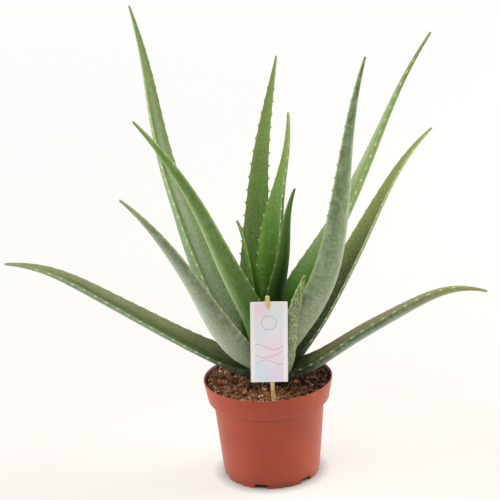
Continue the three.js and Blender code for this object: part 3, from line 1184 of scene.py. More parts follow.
    def flecks(self) -> Iterator[Layer]:
        """Draws the pale flecks of a young leaf, drawn out along the blade.

        Yields:
            Their layer, if there are any.
        """
        most = self.skin.flecks
        if most:
            breadth, length = self.skin.fleck_size
            scale = (per(breadth), per(length), 9.0)
            place = self.add("VectorMath", {0: self.blade, 1: scale}, operation="MULTIPLY")
            bend = self.add("TexNoise", {"Vector": place, "Scale": 1.3, "Detail": 2}, "Color")
            blend = {FACTOR: 0.18, FIRST: place, SECOND: bend}
            bent = self.add("Mix", blend, MIXED, data_type="RGBA")
            dots = {"Vector": bent, "Scale": 1.0, "Randomness": 1.0}
            cells = self.add("TexVoronoi", dots, "Distance")
            spot = self.add("MapRange", {"Value": cells, "From Min": 0.5, "From Max": 0.26})
            depth = {"From Min": 0.3, "From Max": 0.6, "To Min": most / 3, "To Max": most}
            crowd = self.add("MapRange", {"Value": self.blotches, **depth})
            factor = self.add("Math", {0: spot, 1: crowd}, operation="MULTIPLY")
            yield Layer(factor, linear(self.skin.fleck_colour))

    def edges(self) -> Iterator[Layer]:
        """Pales the margins a little, and the horny teeth much.

        Yields:
            A layer for each.
        """
        nearness = self.add("Math", {0: self.across}, operation="ABSOLUTE")
        start = {"From Min": 0.1, "From Max": 0.5, "To Max": 0.55}
        free = self.add("MapRange", {"Value": self.share, **start})
        line = {"From Min": 0.975, "From Max": 1.0, "To Max": free}
        margin = self.add("MapRange", {"Value": nearness, **line})
        yield Layer(margin, linear(self.skin.rim))
        horn = self.add("MapRange", {"Value": self.teeth, "From Min": 0.15, "From Max": 0.7})
        yield Layer(horn, linear(self.skin.tooth))


def along(values: Sequence[float], shares: np.ndarray) -> np.ndarray:
    """Finds values at shares of a list of evenly spaced ones, on a smooth curve through them.

    Args:
        values: The evenly spaced values.
        shares: Places along the list, from 0 to 1.

    Returns:
        The value at each share.
    """
    last = len(values) - 1
    padded = np.array([2 * values[0] - values[1], *values, 2 * values[-1] - values[-2]], float)
    step = np.minimum((shares * last).astype(int), last - 1)
    t = shares * last - step
    before, start, end, after = (padded[step + i] for i in range(4))
    slope_in, slope_out, rise = (end - before) / 2, (after - start) / 2, end - start
    square = 3 * rise - 2 * slope_in - slope_out
    cube = slope_in + slope_out - 2 * rise
    return start + t * (slope_in + t * (square + t * cube))


def directions(azimuth: np.ndarray, lean: np.ndarray) -> np.ndarray:
    """Finds unit directions.

    Args:
        azimuth: Their azimuths in degrees.
        lean: Their leans from the vertical in degrees.

    Returns:
        A row for each.
    """
    azimuth, lean = np.radians(azimuth), np.radians(lean)
    flat = np.sin(lean)
    return np.stack([flat * np.cos(azimuth), flat * np.sin(azimuth), np.cos(lean)], 1)


@dataclass(frozen=True)
class Grid:
    """Where on the blade the points of a blank belong, a value for each point.

    share runs from 0 at the root to 1 at the tip, side from -1 on one margin to 1 on the
    other, and within from 0 to 1 over the cell of a tooth. upper says whether a point is on
    the face, and spike whether it is the point of a tooth.
    """

    share: np.ndarray
    side: np.ndarray
    within: np.ndarray
    upper: np.ndarray
    spike: np.ndarray


@dataclass(frozen=True)
class Leaf:
    """One leaf, with the same sizes as its solid.

    root is the radius and height where it grows from the stem. azimuth, facing and lean are
    in degrees and width is in millimetres, each from root to tip. facing is where the back
    of the blade looks, and is left out where that is the way the leaf leans.
    """

    node: str
    root: tuple[float, float]
    length: float
    azimuth: tuple[float, float]
    lean: tuple[float, ...]
    width: tuple[float, ...]
    skin: LeafSkin
    facing: tuple[float, float] | None = None

    TIP_WIDTH: ClassVar[float] = 1.6
    EDGE: ClassVar[float] = 1.0
    ROOT_THICKNESS: ClassVar[float] = 0.27
    TIP_THICKNESS: ClassVar[float] = 0.5
    CHANNEL: ClassVar[float] = 0.09
    CLASP: ClassVar[float] = 0.1
    # The foot is rolled round the stem, to this radius at the root and flat from this share on.
    CURL_RADIUS: ClassVar[float] = 10.0
    CURL_END: ClassVar[float] = 0.2
    TOOTH_PITCH: ClassVar[float] = 12.0
    TOOTH_HEIGHT: ClassVar[float] = 1.8
    TOOTH_LEAST: ClassVar[float] = 0.35
    TOOTH_FULL_HALF_WIDTH: ClassVar[float] = 8.0
    TOOTH_RANGE: ClassVar[tuple[float, float]] = (0.13, 0.92)
    SCALLOP: ClassVar[float] = 0.35
    SPINE_STEPS: ClassVar[int] = 120
    # Points across one face, margins included, and the cuts in each tooth's cell.
    ACROSS: ClassVar[int] = 13
    CUTS: ClassVar[tuple[float, ...]] = (0.0, 0.2, 0.34, 0.54, 0.77, 1.0)
    TOOTH_CUT: ClassVar[int] = 2
    TOOTH_POINT: ClassVar[float] = 0.54
    # The margin is horny around a tooth's heel, to this distance in its cell and so much.
    HEEL: ClassVar[float] = 0.44
    HEEL_REACH: ClassVar[float] = 0.12
    HEEL_HORN: ClassVar[float] = 0.4
    # Only a spike of the blank, whose tube has a radius of 1, reaches farther out than this.
    SPIKE_REACH: ClassVar[float] = 1.5

    @property
    def cells(self) -> int:
        """How many cells, one to a tooth, the blade's length has."""
        return round(self.length / self.TOOTH_PITCH)

    def build(self) -> None:
        """Models and dresses the leaf."""
        blade = self.blank()
        self.shape(blade)
        turn_outward(blade)
        surface = LeafSurface("skin of " + self.node, self.skin)
        finish(blade, self.node + "_blade", self.node, surface.material, crease=55)

    def around(self, x: np.ndarray | float, y: np.ndarray | float) -> np.ndarray | float:
        """Which point of its ring a place on the blank lies at."""
        ring = 2 * self.ACROSS
        return np.arctan2(x, y) / math.tau * ring % ring

    def bears_tooth(self, face: bmesh.types.BMFace) -> bool:
        """Finds the faces of the blank from which a tooth grows.

        Args:
            face: A face.

        Returns:
            Whether it is one of them.
        """
        place = face.calc_center_median()
        margins = (self.ACROSS - 1, 2 * self.ACROSS - 1)
        on_margin = place.xy.length > 0.5 and int(self.around(place.x, place.y)) in margins
        share = place.z + 0.5
        cut = int(share * self.cells % 1 * (len(self.CUTS) - 1))
        first, last = self.TOOTH_RANGE
        return on_margin and cut == self.TOOTH_CUT and first < share < last

    def blank(self) -> Piece:
        """Makes a closed tube of radius and length 1, cut into rings, with a spike for each tooth.

        Returns:
            The tube.
        """
        bpy.ops.mesh.primitive_cylinder_add(vertices=2 * self.ACROSS, radius=1, depth=1)
        blank = bpy.context.object

        def is_long(edge: bmesh.types.BMEdge) -> bool:
            """Whether an edge runs the length of the tube."""
            start, end = edge.verts
            return (start.co - end.co).xy.length < 0.01

        with editing(blank, Part.EDGE):
            for pieces in (self.cells, len(self.CUTS) - 1):
                choose(blank, Part.EDGE, is_long)
                bpy.ops.mesh.subdivide(number_cuts=pieces - 1)
        with editing(blank):
            choose(blank, Part.FACE, self.bears_tooth)
            bpy.ops.mesh.poke(offset=1)
        return blank

    def shape(self, blade: Piece) -> None:
        """Bends the blank to the leaf, and notes where on the blade each point lies.

        Args:
            blade: The blank, whose points are moved.
        """
        grid = self.grid(read_points(blade))
        across, above = self.section(grid)
        run = grid.share * self.length
        note_points(blade, "blade", np.stack([across * MM, run * MM, grid.upper], 1))
        note_points(blade, "marks", np.stack([grid.share, grid.side, self.horn(grid)], 1))
        across, above = self.curled(grid.share, across, above)
        place, face, side = self.spine(grid.share)
        write_points(blade, (place + across[:, None] * side + above[:, None] * face) * MM)

    def grid(self, points: np.ndarray) -> Grid:
        """Finds where on the blade the blank's points belong.

        Args:
            points: Their places on the blank, a row each.

        Returns:
            Where they belong.
        """
        spike = np.hypot(points[:, 0], points[:, 1]) > self.SPIKE_REACH
        around = self.around(points[:, 0], points[:, 1])
        around = np.where(spike, around, np.round(around) % (2 * self.ACROSS))
        cells = (points[:, 2] + 0.5) * self.cells
        cell = np.floor(cells + 1e-4)
        within = np.interp(cells - cell, np.linspace(0, 1, len(self.CUTS)), self.CUTS)
        within = np.where(spike, self.TOOTH_POINT, within)
        share = np.clip((cell + within) / self.cells, 0, 1)
        upper = around < self.ACROSS - 0.5
        turn = np.pi / (self.ACROSS - 1)
        side = np.where(upper, -np.cos(around * turn), np.cos((around - self.ACROSS) * turn))
        side = np.where(spike, np.where(around < self.ACROSS, 1.0, -1.0), side)
        return Grid(share, side, within, upper, spike)

    def section(self, grid: Grid) -> tuple[np.ndarray, np.ndarray]:
        """Draws the blade's section: channelled above, rounded below, with scallops and teeth.

        Args:
            grid: Where on the blade the points belong.

        Returns:
            How far each point is to the side of the middle line, and how far above it.
        """
        half = along([*self.width, self.TIP_WIDTH], grid.share) / 2
        edge = np.minimum(self.EDGE, half) / 2
        channel = 2 * half * (self.CHANNEL + self.CLASP * (1 - grid.share) ** 4)
        inner = 1 - grid.side * grid.side
        sag = channel * inner
        taper = self.TIP_THICKNESS - self.ROOT_THICKNESS
        thickness = self.ROOT_THICKNESS + taper * grid.share
        body = 2 * half * thickness * np.sqrt(np.maximum(0, inner))
        above = np.where(grid.upper, edge - sag, -edge - sag - body)
        above = np.where(grid.spike, 0, above)
        breadth = np.minimum(1, half / self.TOOTH_FULL_HALF_WIDTH)
        height = self.TOOTH_HEIGHT * (self.TOOTH_LEAST + (1 - self.TOOTH_LEAST) * breadth)
        drawn_in = self.SCALLOP * breadth * np.abs(grid.side) ** 8
        drawn_in *= (1 - np.cos(math.tau * (grid.within - self.TOOTH_POINT))) / 2
        return grid.side * (half - drawn_in + np.where(grid.spike, height, 0)), above

    def horn(self, grid: Grid) -> np.ndarray:
        """Finds how horny the blade is: fully at the teeth's points, and a little at their heels.

        Args:
            grid: Where on the blade the points belong.

        Returns:
            A value from 0 to 1 for each point.
        """
        first, last = self.TOOTH_RANGE
        toothed = (np.abs(grid.side) > 0.999) & (grid.share > first) & (grid.share < last)
        heel = toothed & (np.abs(grid.within - self.HEEL) < self.HEEL_REACH)
        return np.where(grid.spike, 1, np.where(heel, self.HEEL_HORN, 0))

    def curled(
        self, share: np.ndarray, across: np.ndarray, above: np.ndarray
    ) -> tuple[np.ndarray, np.ndarray]:
        """Rolls the flat foot of the blade round the stem.

        Args:
            share: Where each point lies along the leaf, from 0 to 1.
            across: How far it is to the side of the middle line.
            above: How far it is above the blade.

        Returns:
            The two distances after the roll.
        """
        bend = np.maximum(0, 1 - share / self.CURL_END) ** 2 / self.CURL_RADIUS
        rolled = bend > 0
        radius = 1 / np.where(rolled, bend, 1)
        angle = across * bend
        rolled_across = np.sin(angle) * (radius - above)
        rolled_above = (1 - np.cos(angle)) * radius + above * np.cos(angle)
        return np.where(rolled, rolled_across, across), np.where(rolled, rolled_above, above)

    def spine(self, share: np.ndarray) -> tuple[np.ndarray, np.ndarray, np.ndarray]:
        """Finds the leaf's middle line at shares of its length.

        Args:
            share: Places along the leaf, from 0 to 1.

        Returns:
            The place, the way the upper face looks and the way across, a row for each share.
        """
        steps = self.SPINE_STEPS
        middles = (np.arange(steps) + 0.5) / steps
        strides = self.run(middles) * self.length / steps
        root = directions(np.array([self.azimuth[0]]), np.array([90.0]))[0] * self.root[0]
        places = np.concatenate([[root], root + np.cumsum(strides, 0)])
        places[:, 2] += self.root[1]
        marks = np.arange(steps + 1)
        place = np.stack([np.interp(share * steps, marks, axis) for axis in places.T], 1)
        run = self.run(share)
        start, end = self.facing or self.azimuth
        face = -directions(start + (end - start) * share, np.full(len(share), 90.0))
        face[:, 2] = 1
        face -= run * np.sum(face * run, 1, keepdims=True)
        face /= np.linalg.norm(face, axis=1, keepdims=True)
        return place, face, np.cross(run, face)

    def run(self, share: np.ndarray) -> np.ndarray:
        """The way that the leaf runs at shares of its length, a row each."""
        start, end = self.azimuth
        return directions(start + (end - start) * share, along(self.lean, share))


# Colours run across each side from the margin on the left as the leaf's face is seen. Their
# pale and dark stops are partly painted light: highlights on lit edges, shade in channels,
# and shade on the dark feet and the dark heart.
# Partly painted shade: the heart spear's dark greens and nearly black foot stand for the shade inside
# the rosette.
DARK_AND_SHADED_HEART = LeafSkin(
    back=("#46692c", "#305414", "#1c3c08", "#1c3e08", "#42641c"),
    face=("#3f7322", "#2c5a18"),
    foot="#0c1a04",
    tip="#567630",
    foot_reach=0.8,
    tip_reach=0.55,
    bloom=0.0,
    rim="#6c8848",
    tooth="#a8b46c",
)
BRIGHT_HEART = LeafSkin(
    back=("#437f18", "#3c7214", "#2c5c00"),
    face=("#709436", "#4e7818", "#466c18", "#5c7e2c"),
    foot="#224c08",
    tip="#80984a",
    foot_reach=0.5,
    tip_reach=0.5,
    bloom=0.02,
    rubs=0.12,
    tooth="#c4d088",
)
YOUNG_HEART = replace(
    BRIGHT_HEART,
    face=("#2c5c00", "#508c18", "#78ac3a", "#78a644"),
    foot="#346410",
    tip="#6c8c34",
)
MOTTLED = LeafSkin(
    back=("#5a7f48", "#4f7a3a", "#5a7f48"),
    face=("#8ca466", "#64823c", "#607e3c", "#52722f"),
    foot="#4c6628",
    tip="#88a256",
    tip_reach=0.6,
    flecks=0.4,
    fleck_size=(2.6, 1.3),
    fleck_colour="#98ae74",
    bloom=0.08,
    tooth="#b8c480",
)
# Painted highlight: the back pales to nearly white at its lit edge.
SMOOTH = LeafSkin(
    back=("#5e8036", "#66883e", "#88a466", "#b0c48e", "#dce6c8"),
    face=("#5b8a3a", "#4d7a2c"),
    foot="#406a1c",
    tip="#779c3e",
    bloom=0.12,
    rubs=0.06,
)
ARCHING = LeafSkin(
    back=("#7ca650", "#70984a", "#82985e"),
    face=("#b0bc9a", "#9cac7e", "#7a9444", "#8ca45e"),
    foot="#5c9e14",
    tip="#6e9044",
    foot_reach=0.55,
    bloom=0.03,
)
# Painted shade: the face's dark band by the toothed margin is the shade in its channel.
LONG = LeafSkin(
    back=("#8aa078", "#84a070", "#86a272"),
    face=("#709620", "#3c5808", "#7e8c5e", "#8e9876", "#7c9058", "#8a9e62"),
    foot="#3e600e",
    tip="#809c52",
    foot_reach=0.6,
    tip_reach=0.4,
    flecks=0.15,
    fleck_size=(2.4, 3.0),
    bloom=0.08,
    rubs=0.06,
)
# Wax bloom, with painted light: the back runs from a painted shaded edge to a painted highlight on the
# lit one.
SILVER_LEFT = LeafSkin(
    back=("#5c6a4c", "#98a68c", "#b0b9a8", "#c4d0bc", "#e2e9d8"),
    face=("#7c8e64", "#6c8458"),
    foot="#8c9a80",
    tip="#88a064",
    bloom=0.24,
    rubs=0.12,
    rim="#a8ac80",
    tooth="#c4ca94",
)
# Wax bloom, with painted light: the back runs from a painted highlight on its lit edge to painted shade
# on the other.
SILVER_RIGHT = LeafSkin(
    back=("#b4c2ae", "#8c9e7c", "#70885a", "#667e46", "#3c5812"),
    face=("#4f8030", "#5b8a3a"),
    foot="#8e9e7c",
    tip="#5a743c",
    foot_reach=0.9,
    tip_reach=0.4,
    bloom=0.24,
    rubs=0.2,
    bands=0.22,
    tooth="#b9c088",
)
# Painted shade: the face darkens toward one margin, in its channel, and the foot is nearly black.
OLIVE = LeafSkin(
    back=("#7c927c", "#5e7c5c", "#82988c"),
    face=("#5c7a40", "#586838", "#888a62", "#949a6c"),
    foot="#2e3e22",
    foot_reach=0.4,
    tip="#8a9860",
    bloom=0.1,
    rubs=0.12,
)
# Painted shade: the face darkens to nearly black toward one margin, and the foot is nearly black.
OLIVE_FAR = LeafSkin(
    back=("#6f8a6c", "#7c9474", "#718466"),
    face=("#98a25c", "#6e783a", "#465218", "#2a3a02"),
    foot="#1e2c0a",
    tip="#969f5c",
    foot_reach=0.6,
    tip_reach=0.65,
    flecks=0.22,
    fleck_size=(2.0, 2.8),
    fleck_colour="#a6b47c",
    bloom=0.03,
)
# Painted shade: the face is dark along its channel by the toothed margin, and the foot is nearly black.
OLIVE_LOW = LeafSkin(
    back=("#648434", "#8ca080", "#aab8a8", "#aab8a8", "#4c6444"),
    face=("#b09a84", "#968e60", "#465e2a", "#466220"),
    foot="#1c3018",
    foot_reach=0.4,
    tip="#a09e5c",
    tip_reach=0.5,
    flecks=0.25,
    bloom=0.08,
)
# Painted shade: the foot is dark green, where the leaf lies in shade.
SPOTTED = LeafSkin(
    back=("#6a7a56", "#72845a", "#6a7a56"),
    face=("#5c7d4c", "#4f7040"),
    foot="#243818",
    tip="#6a7e34",
    flecks=1.0,
    fleck_size=(0.9, 2.5),
    fleck_colour="#b8c698",
    bloom=0.1,
)

# The leaves, from the heart of the rosette outwards.
LEAVES = (
    Leaf(
        "leaf_heart_spear",
        root=(2, 112), length=179,
        azimuth=(-46, -38), facing=(-47, -39),
        lean=(9, 8, 17, 10, 27),
        width=(31, 27, 18, 10), skin=DARK_AND_SHADED_HEART,
    ),
    Leaf(
        "leaf_heart_left",
        root=(0, 112), length=137,
        azimuth=(160, 160),
        lean=(3, 6, 8, 11, 26),
        width=(18, 17, 12, 7), skin=YOUNG_HEART,
    ),
    Leaf(
        "leaf_heart_right",
        root=(1, 112), length=235,
        azimuth=(62, 0), facing=(47, 47),
        lean=(9, 2, 10, 15, 1),
        width=(29, 26, 24, 10), skin=BRIGHT_HEART,
    ),
    Leaf(
        "leaf_back",
        root=(9, 106), length=288,
        azimuth=(112, 0), facing=(90, 90),
        lean=(18, 11, 8, 12, 12),
        width=(32, 33, 22, 12), skin=MOTTLED,
    ),
    Leaf(
        "leaf_left_smooth",
        root=(0, 112), length=279,
        azimuth=(205, 205), facing=(236, 224),
        lean=(4, 24, 23, 31, 41),
        width=(26, 29, 19, 11), skin=SMOOTH,
    ),
    Leaf(
        "leaf_right_tall",
        root=(2, 118), length=332,
        azimuth=(15, 15), facing=(59, -3),
        lean=(15.5, 35.6, 29.1, 27, 38.4),
        width=(28, 27, 17.4, 8), skin=ARCHING,
    ),
    Leaf(
        "leaf_left_tall",
        root=(4, 102), length=362,
        azimuth=(142, 142), facing=(182, 104),
        lean=(42, 29, 22, 10, 20),
        width=(33, 36, 21, 12), skin=LONG,
    ),
    Leaf(
        "leaf_right_front",
        root=(0, 110), length=338,
        azimuth=(-42, -42), facing=(-29, -70),
        lean=(35, 35, 15, 12, 21),
        width=(32, 36, 24, 11), skin=SILVER_RIGHT,
    ),
    Leaf(
        "leaf_right",
        root=(4, 105), length=275,
        azimuth=(33, 33), facing=(53, 40),
        lean=(66, 43, 38, 41, 62),
        width=(32, 26, 20, 10), skin=OLIVE_FAR,
    ),
    Leaf(
        "leaf_left_front",
        root=(1, 114), length=284,
        azimuth=(232, 232), facing=(235, 197),
        lean=(63, 38, 35, 41, 52),
        width=(30, 33, 21, 12), skin=SILVER_LEFT,
    ),
    Leaf(
        "leaf_low_left",
        root=(4, 104), length=260,
        azimuth=(180, 180), facing=(139, 161),
        lean=(71.5, 60, 57.5, 61, 88),
        width=(28, 22, 18, 13), skin=OLIVE,
    ),
    Leaf(
        "leaf_low_right",
        root=(4, 100.2), length=224,
        azimuth=(-12, -12), facing=(6, -32),
        lean=(79, 56, 58.5, 66, 108),
        width=(28, 21.5, 19, 13), skin=OLIVE_LOW,
    ),
    Leaf(
        "leaf_spotted",
        root=(5, 97), length=144,
        azimuth=(-65, -58), facing=(-69, -65),
        lean=(62, 36, 19, 25, 30),
        width=(22, 21, 13, 11), skin=SPOTTED,
    ),
)


# ---------- card and pick ----------


@dataclass(frozen=True)
class LabelStand:
    """Where the card and its pick stand: on the soil in front, leaning a little forward."""

    place: tuple[float, float, float] = (3.7, -47.5, 90.5)
    forward: float = 4
    sideways: float = -0.7

    def frame(self) -> Matrix:
        """Finds the frame that both pieces are made in.

        Returns:
            The frame, in metres.
        """
        lean = Matrix.Rotation(math.radians(self.forward), 4, "X")
        tilt = Matrix.Rotation(math.radians(self.sideways), 4, "Y")
        return Matrix.Translation(Vector(self.place) * MM) @ lean @ tilt


@dataclass(frozen=True)
class LabelPick:
    """A flat birch pick, pointed below, with a tongue at its top that clips the card.

    top_round is how far the rounding of the top reaches, as a share of the width.
    """

    bottom_z: float = -45
    top_z: float = 105.5
    point_length: float = 12
    point_width: float = 1
    width: float = 3.8
    shaft: float = 2
    slit: float = 1.2
    tongue: float = 1.2
    head_height: float = 4.7
    tongue_length: float = 11.8
    tongue_width: float = 3
    top_round: float = 0.48
    edge_round: float = 0.18

    def build(self) -> None:
        """Models the head, draws the shaft and the tongue down from it, and dresses them."""
        depth = self.shaft + self.slit + self.tongue
        back = self.shaft / 2
        head_z = self.top_z - self.head_height
        bpy.ops.mesh.primitive_cube_add(
            size=1,
            location=Vector((0, back - depth / 2, self.top_z - self.head_height / 2)) * MM,
            scale=Vector((self.width, depth, self.head_height)) * MM,
        )
        pick = bpy.context.object
        bpy.ops.object.transform_apply(location=True, rotation=False, scale=True)
        with editing(pick):
            for y in (-back, -back - self.slit):
                bpy.ops.mesh.select_all(action="SELECT")
                bpy.ops.mesh.bisect(plane_co=(0, y * MM, 0), plane_no=(0, 1, 0))
            blunt = self.tongue_width / 2
            hang = self.tongue_length - self.head_height - blunt
            drop = head_z - self.bottom_z - self.point_length
            shaft_steps = [(drop, self.width), (self.point_length, self.point_width)]
            tongue_steps = [(hang, self.tongue_width), (blunt, self.point_width)]
            self.draw_down(pick, lambda y: y > -back, shaft_steps)
            self.draw_down(pick, lambda y: y < -back - self.slit, tongue_steps)
        self.round_top(pick)
        soften(pick, self.edge_round, 2, 50)
        pick.matrix_world = LabelStand().frame()
        finish(pick, "label_pick_birch", "label_pick", self.birch())

    def draw_down(
        self,
        pick: Piece,
        strip: Callable[[float], bool],
        steps: Sequence[tuple[float, float]],
    ) -> None:
        """Extrudes the lowest face of one strip downwards.

        Args:
            pick: The pick, open in edit mode.
            strip: Says whether a face belongs to the strip, by its place in depth.
            steps: How far each extrusion goes and its width at its end, in millimetres.
        """
        mesh = bmesh.from_edit_mesh(pick.data)
        downward = [
            face for face in mesh.faces
            if face.normal.z < -0.9 and strip(face.calc_center_median().y / MM)
        ]
        lowest = min(downward, key=lambda face: face.calc_center_median().z).index
        choose(pick, Part.FACE, lambda face: face.index == lowest)
        before = self.width
        for length, after in steps:
            drop = (0, 0, -length * MM)
            bpy.ops.mesh.extrude_region_move(TRANSFORM_OT_translate={"value": drop})
            bpy.ops.transform.resize(value=(after / before, 1, 1))
            before = after

    def round_top(self, pick: Piece) -> None:
        """Rounds the two upper corners into a half circle.

        Args:
            pick: The pick.
        """
        top = (self.top_z - 0.01) * MM
        side = (self.width / 2 - 0.01) * MM

        def is_corner(edge: bmesh.types.BMEdge) -> bool:
            """Whether an edge is a part of an upper corner."""
            return all(v.co.z > top and abs(v.co.x) > side for v in edge.verts)

        with editing(pick, Part.EDGE):
            choose(pick, Part.EDGE, is_corner)
            bpy.ops.mesh.bevel(offset=self.width * self.top_round * MM, segments=7)

    def birch(self) -> Material:
        """Raw birch, sawn and sanded: pale, matt, with fine brown grain lines along the pick.

        Returns:
            The material.
        """
        wood = Surface("raw birch", {"Roughness": 0.68, "Specular IOR Level": 0.35})
        place = wood.add("TexCoord", {}, "Object")
        scale = (per(0.5), per(0.5), per(22))
        grain_place = wood.add("VectorMath", {0: place, 1: scale}, operation="MULTIPLY")
        grain = wood.add("TexNoise", {"Vector": grain_place, "Scale": 1.0, "Detail": 4})
        colour = wood.add("ValToRGB", {"Fac": grain}, stops=[(0.3, "#cfa463"), (0.55, "#ecd09a")])
        relief = wood.add("Bump", {"Height": grain, "Strength": 0.3, "Distance": 0.15 * MM})
        wood.connect(wood.shader, {"Base Color": colour, "Normal": relief})
        return wood.material


@dataclass(frozen=True)
class PlantCard:
    """A card of coated board, printed in front with soft washes and a ring over low hills.

    The borders are shares of the card's width and height. The ring and the drawn line are
    measured in card widths, and ring_z is a share of the height. Each hill has its height
    and swell as shares of the card's height, its pitch and its phase. Each wash has its
    place across and up the card, its reach and its colour.
    """

    width: float = 33.5
    height: float = 80
    thickness: float = 0.5
    x: float = -0.8
    bottom_z: float = 20.3
    turn: float = 2.6
    bow: float = 0.5
    corner: float = 0.6
    side_border: float = 0.12
    end_border: float = 0.018
    border_blur: float = 0.006
    line: float = 0.011
    ring: float = 0.2
    ring_z: float = 0.74
    hills: tuple[tuple[float, float, float, float], ...] = (
        (0.44, 0.035, 7.0, 0.4),
        (0.35, 0.045, 5.2, 2.6),
        (0.25, 0.03, 8.5, 4.4),
    )
    washes: tuple[tuple[float, float, float, str], ...] = (
        (0.20, 0.93, 0.42, "#f9e2ee"),
        (0.80, 0.88, 0.40, "#e8f4f4"),
        (0.18, 0.62, 0.36, "#ebecf6"),
        (0.78, 0.40, 0.40, "#fce4f2"),
        (0.30, 0.14, 0.34, "#e0eefa"),
        (0.78, 0.10, 0.34, "#efe2f6"),
    )

    @property
    def format(self) -> float:
        """The card's height in card widths."""
        return self.height / self.width

    def build(self) -> None:
        """Models and dresses the card."""
        bpy.ops.mesh.primitive_grid_add(x_subdivisions=16, y_subdivisions=38, size=1)
        card = bpy.context.object
        card.scale = Vector((self.width, self.height, 1)) * MM
        card.rotation_euler.x = math.pi / 2
        bpy.ops.object.transform_apply(location=False, rotation=True, scale=True)
        with editing(card, Part.VERT):
            choose(card, Part.VERT, lambda point: len(point.link_edges) == 2)
            bpy.ops.mesh.bevel(offset=self.corner * MM, segments=4, affect="VERTICES")
        points = read_points(card)
        share = points[:, 0] / (self.width * MM)
        up = points[:, 2] / (self.height * MM)
        note_points(card, "print", np.stack([share + 0.5, up + 0.5, share * 0], 1))
        points[:, 1] = -self.bow * MM * (2 * share) ** 2
        write_points(card, points)
        for material in (CardPrint(self).material, self.bare()):
            card.data.materials.append(material)
        modify(
            card,
            "SOLIDIFY",
            thickness=self.thickness * MM,
            offset=0,
            material_offset=1,
            material_offset_rim=1,
        )
        pick = LabelPick()
        middle_z = self.bottom_z + self.height / 2
        seat = Vector((self.x, -(pick.shaft + pick.slit) / 2, middle_z)) * MM
        turn = Matrix.Rotation(math.radians(self.turn), 4, "Y")
        card.matrix_world = LabelStand().frame() @ Matrix.Translation(seat) @ turn
        finish(card, "label_card_printed", "label_card", card.data.materials[0])

    def bare(self) -> Material:
        """Uncoated white board, on the card's back and cut edges: matt, with a trace of pulp.

        Returns:
            The material.
        """
        board = Surface("bare board", {"Roughness": 0.8})
        place = board.add("TexCoord", {}, "Object")
        pulp = board.add("TexNoise", {"Vector": place, "Scale": per(1.2), "Detail": 3})
        colour = board.add("ValToRGB", {"Fac": pulp}, stops=[(0.3, "#ece9e4"), (0.7, "#f6f4f0")])
        board.connect(board.shader, {"Base Color": colour})
        return board.material


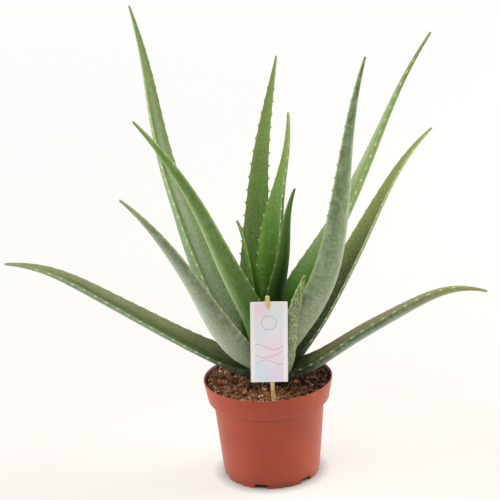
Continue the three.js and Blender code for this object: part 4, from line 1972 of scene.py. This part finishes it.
class CardPrint(Surface):
    """Coated board, printed: a white border round a panel of watercolour washes.

    The coating is a little glossy, and the washes bleed softly into one another. It reads
    the attribute print of the card.
    """

    def __init__(self, card: PlantCard) -> None:
        """Prints the card.

        Args:
            card: Its sizes and what is drawn on it.
        """
        gloss = {"Roughness": 0.42, "Specular IOR Level": 0.4}
        super().__init__("printed coated board", gloss)
        self.card = card
        place = self.add("Attribute", {}, "Vector", attribute_name="print")
        self.across, self.up, _ = self.add("SeparateXYZ", {0: place}).node.outputs
        # A card's place in card widths, so that the washes and the ring are round.
        scale = (1.0, card.format, 1.0)
        self.square = self.add("VectorMath", {0: place, 1: scale}, operation="MULTIPLY")
        tone: object = linear("#f0eef5")
        for factor, colour in (
            *self.washes(),
            (self.ink(), "#8f83a3"),
            (self.border(), "#fbf8f8"),
        ):
            inputs = {FACTOR: factor, FIRST: tone, SECOND: linear(colour)}
            tone = self.add("Mix", inputs, MIXED, data_type="RGBA")
        self.connect(self.shader, {"Base Color": tone})

    def washes(self) -> Iterator[tuple[Socket, str]]:
        """Lays soft washes, whose rims wander as wet paint does.

        Yields:
            How much of each lies at a place, and its colour.
        """
        cloud = self.add("TexNoise", {"Vector": self.square, "Scale": 3.2, "Detail": 4}, "Color")
        lift = self.add("VectorMath", {0: cloud, 1: (0.5, 0.5, 0.5)}, operation="SUBTRACT")
        drift = self.add("VectorMath", {0: lift, "Scale": 0.5}, operation="SCALE")
        bled = self.add("VectorMath", {0: self.square, 1: drift}, operation="ADD")
        for x, y, reach, colour in self.card.washes:
            middle = (x, y * self.card.format, 0.0)
            far = self.add("VectorMath", {0: bled, 1: middle}, "Value", operation="DISTANCE")
            fade = {"From Min": reach * 1.5, "From Max": reach * 0.4, "To Max": 0.9}
            wet = self.add("MapRange", {"Value": far, **fade}, interpolation_type="SMOOTHSTEP")
            yield wet, colour

    def ink(self) -> Socket:
        """Draws thin lines: a ring, and three rolling hills below it.

        Returns:
            How much ink lies at each place, from 0 to 1.
        """
        card = self.card
        middle = (0.5, card.ring_z * card.format, 0.0)
        far = self.add("VectorMath", {0: self.square, 1: middle}, "Value", operation="DISTANCE")
        off_ring = self.add("Math", {0: far, 1: card.ring}, operation="SUBTRACT")
        nearest = self.add("Math", {0: off_ring}, operation="ABSOLUTE")
        for height, swell, pitch, phase in card.hills:
            turn = self.add("Math", {0: self.across, 1: pitch, 2: phase}, operation="MULTIPLY_ADD")
            wave = self.add("Math", {0: turn}, operation="SINE")
            ridge = self.add("Math", {0: wave, 1: swell, 2: height}, operation="MULTIPLY_ADD")
            off = self.add("Math", {0: self.up, 1: ridge}, operation="SUBTRACT")
            gap = self.add("Math", {0: off}, operation="ABSOLUTE")
            wide = self.add("Math", {0: gap, 1: card.format}, operation="MULTIPLY")
            nearest = self.add("Math", {0: nearest, 1: wide}, operation="MINIMUM")
        line = {"From Min": card.line, "From Max": card.line * 0.4, "To Max": 0.7}
        return self.add("MapRange", {"Value": nearest, **line})

    def border(self) -> Socket:
        """Finds the white border round the printed panel.

        Returns:
            1 on the border and 0 inside it.
        """
        card = self.card
        inside: object = 1.0
        for place, border in ((self.across, card.side_border), (self.up, card.end_border)):
            off = self.add("Math", {0: place, 1: 0.5}, operation="SUBTRACT")
            out = self.add("Math", {0: off}, operation="ABSOLUTE")
            edge = 0.5 - border
            fade = {"From Min": edge + card.border_blur, "From Max": edge - card.border_blur}
            part = self.add("MapRange", {"Value": out, **fade})
            inside = self.add("Math", {0: inside, 1: part}, operation="MULTIPLY")
        return self.add("Math", {0: 1.0, 1: inside}, operation="SUBTRACT")


# ---------- the whole ----------


def main() -> None:
    """Builds the studio and the plant, piece by piece."""
    logging.basicConfig(level=logging.INFO, format="%(message)s")
    Studio().build()
    for piece in (NurseryPot(), PottingSoil(), RosetteStem(), *LEAVES, LabelPick(), PlantCard()):
        piece.build()


if __name__ == "__main__":
    main()
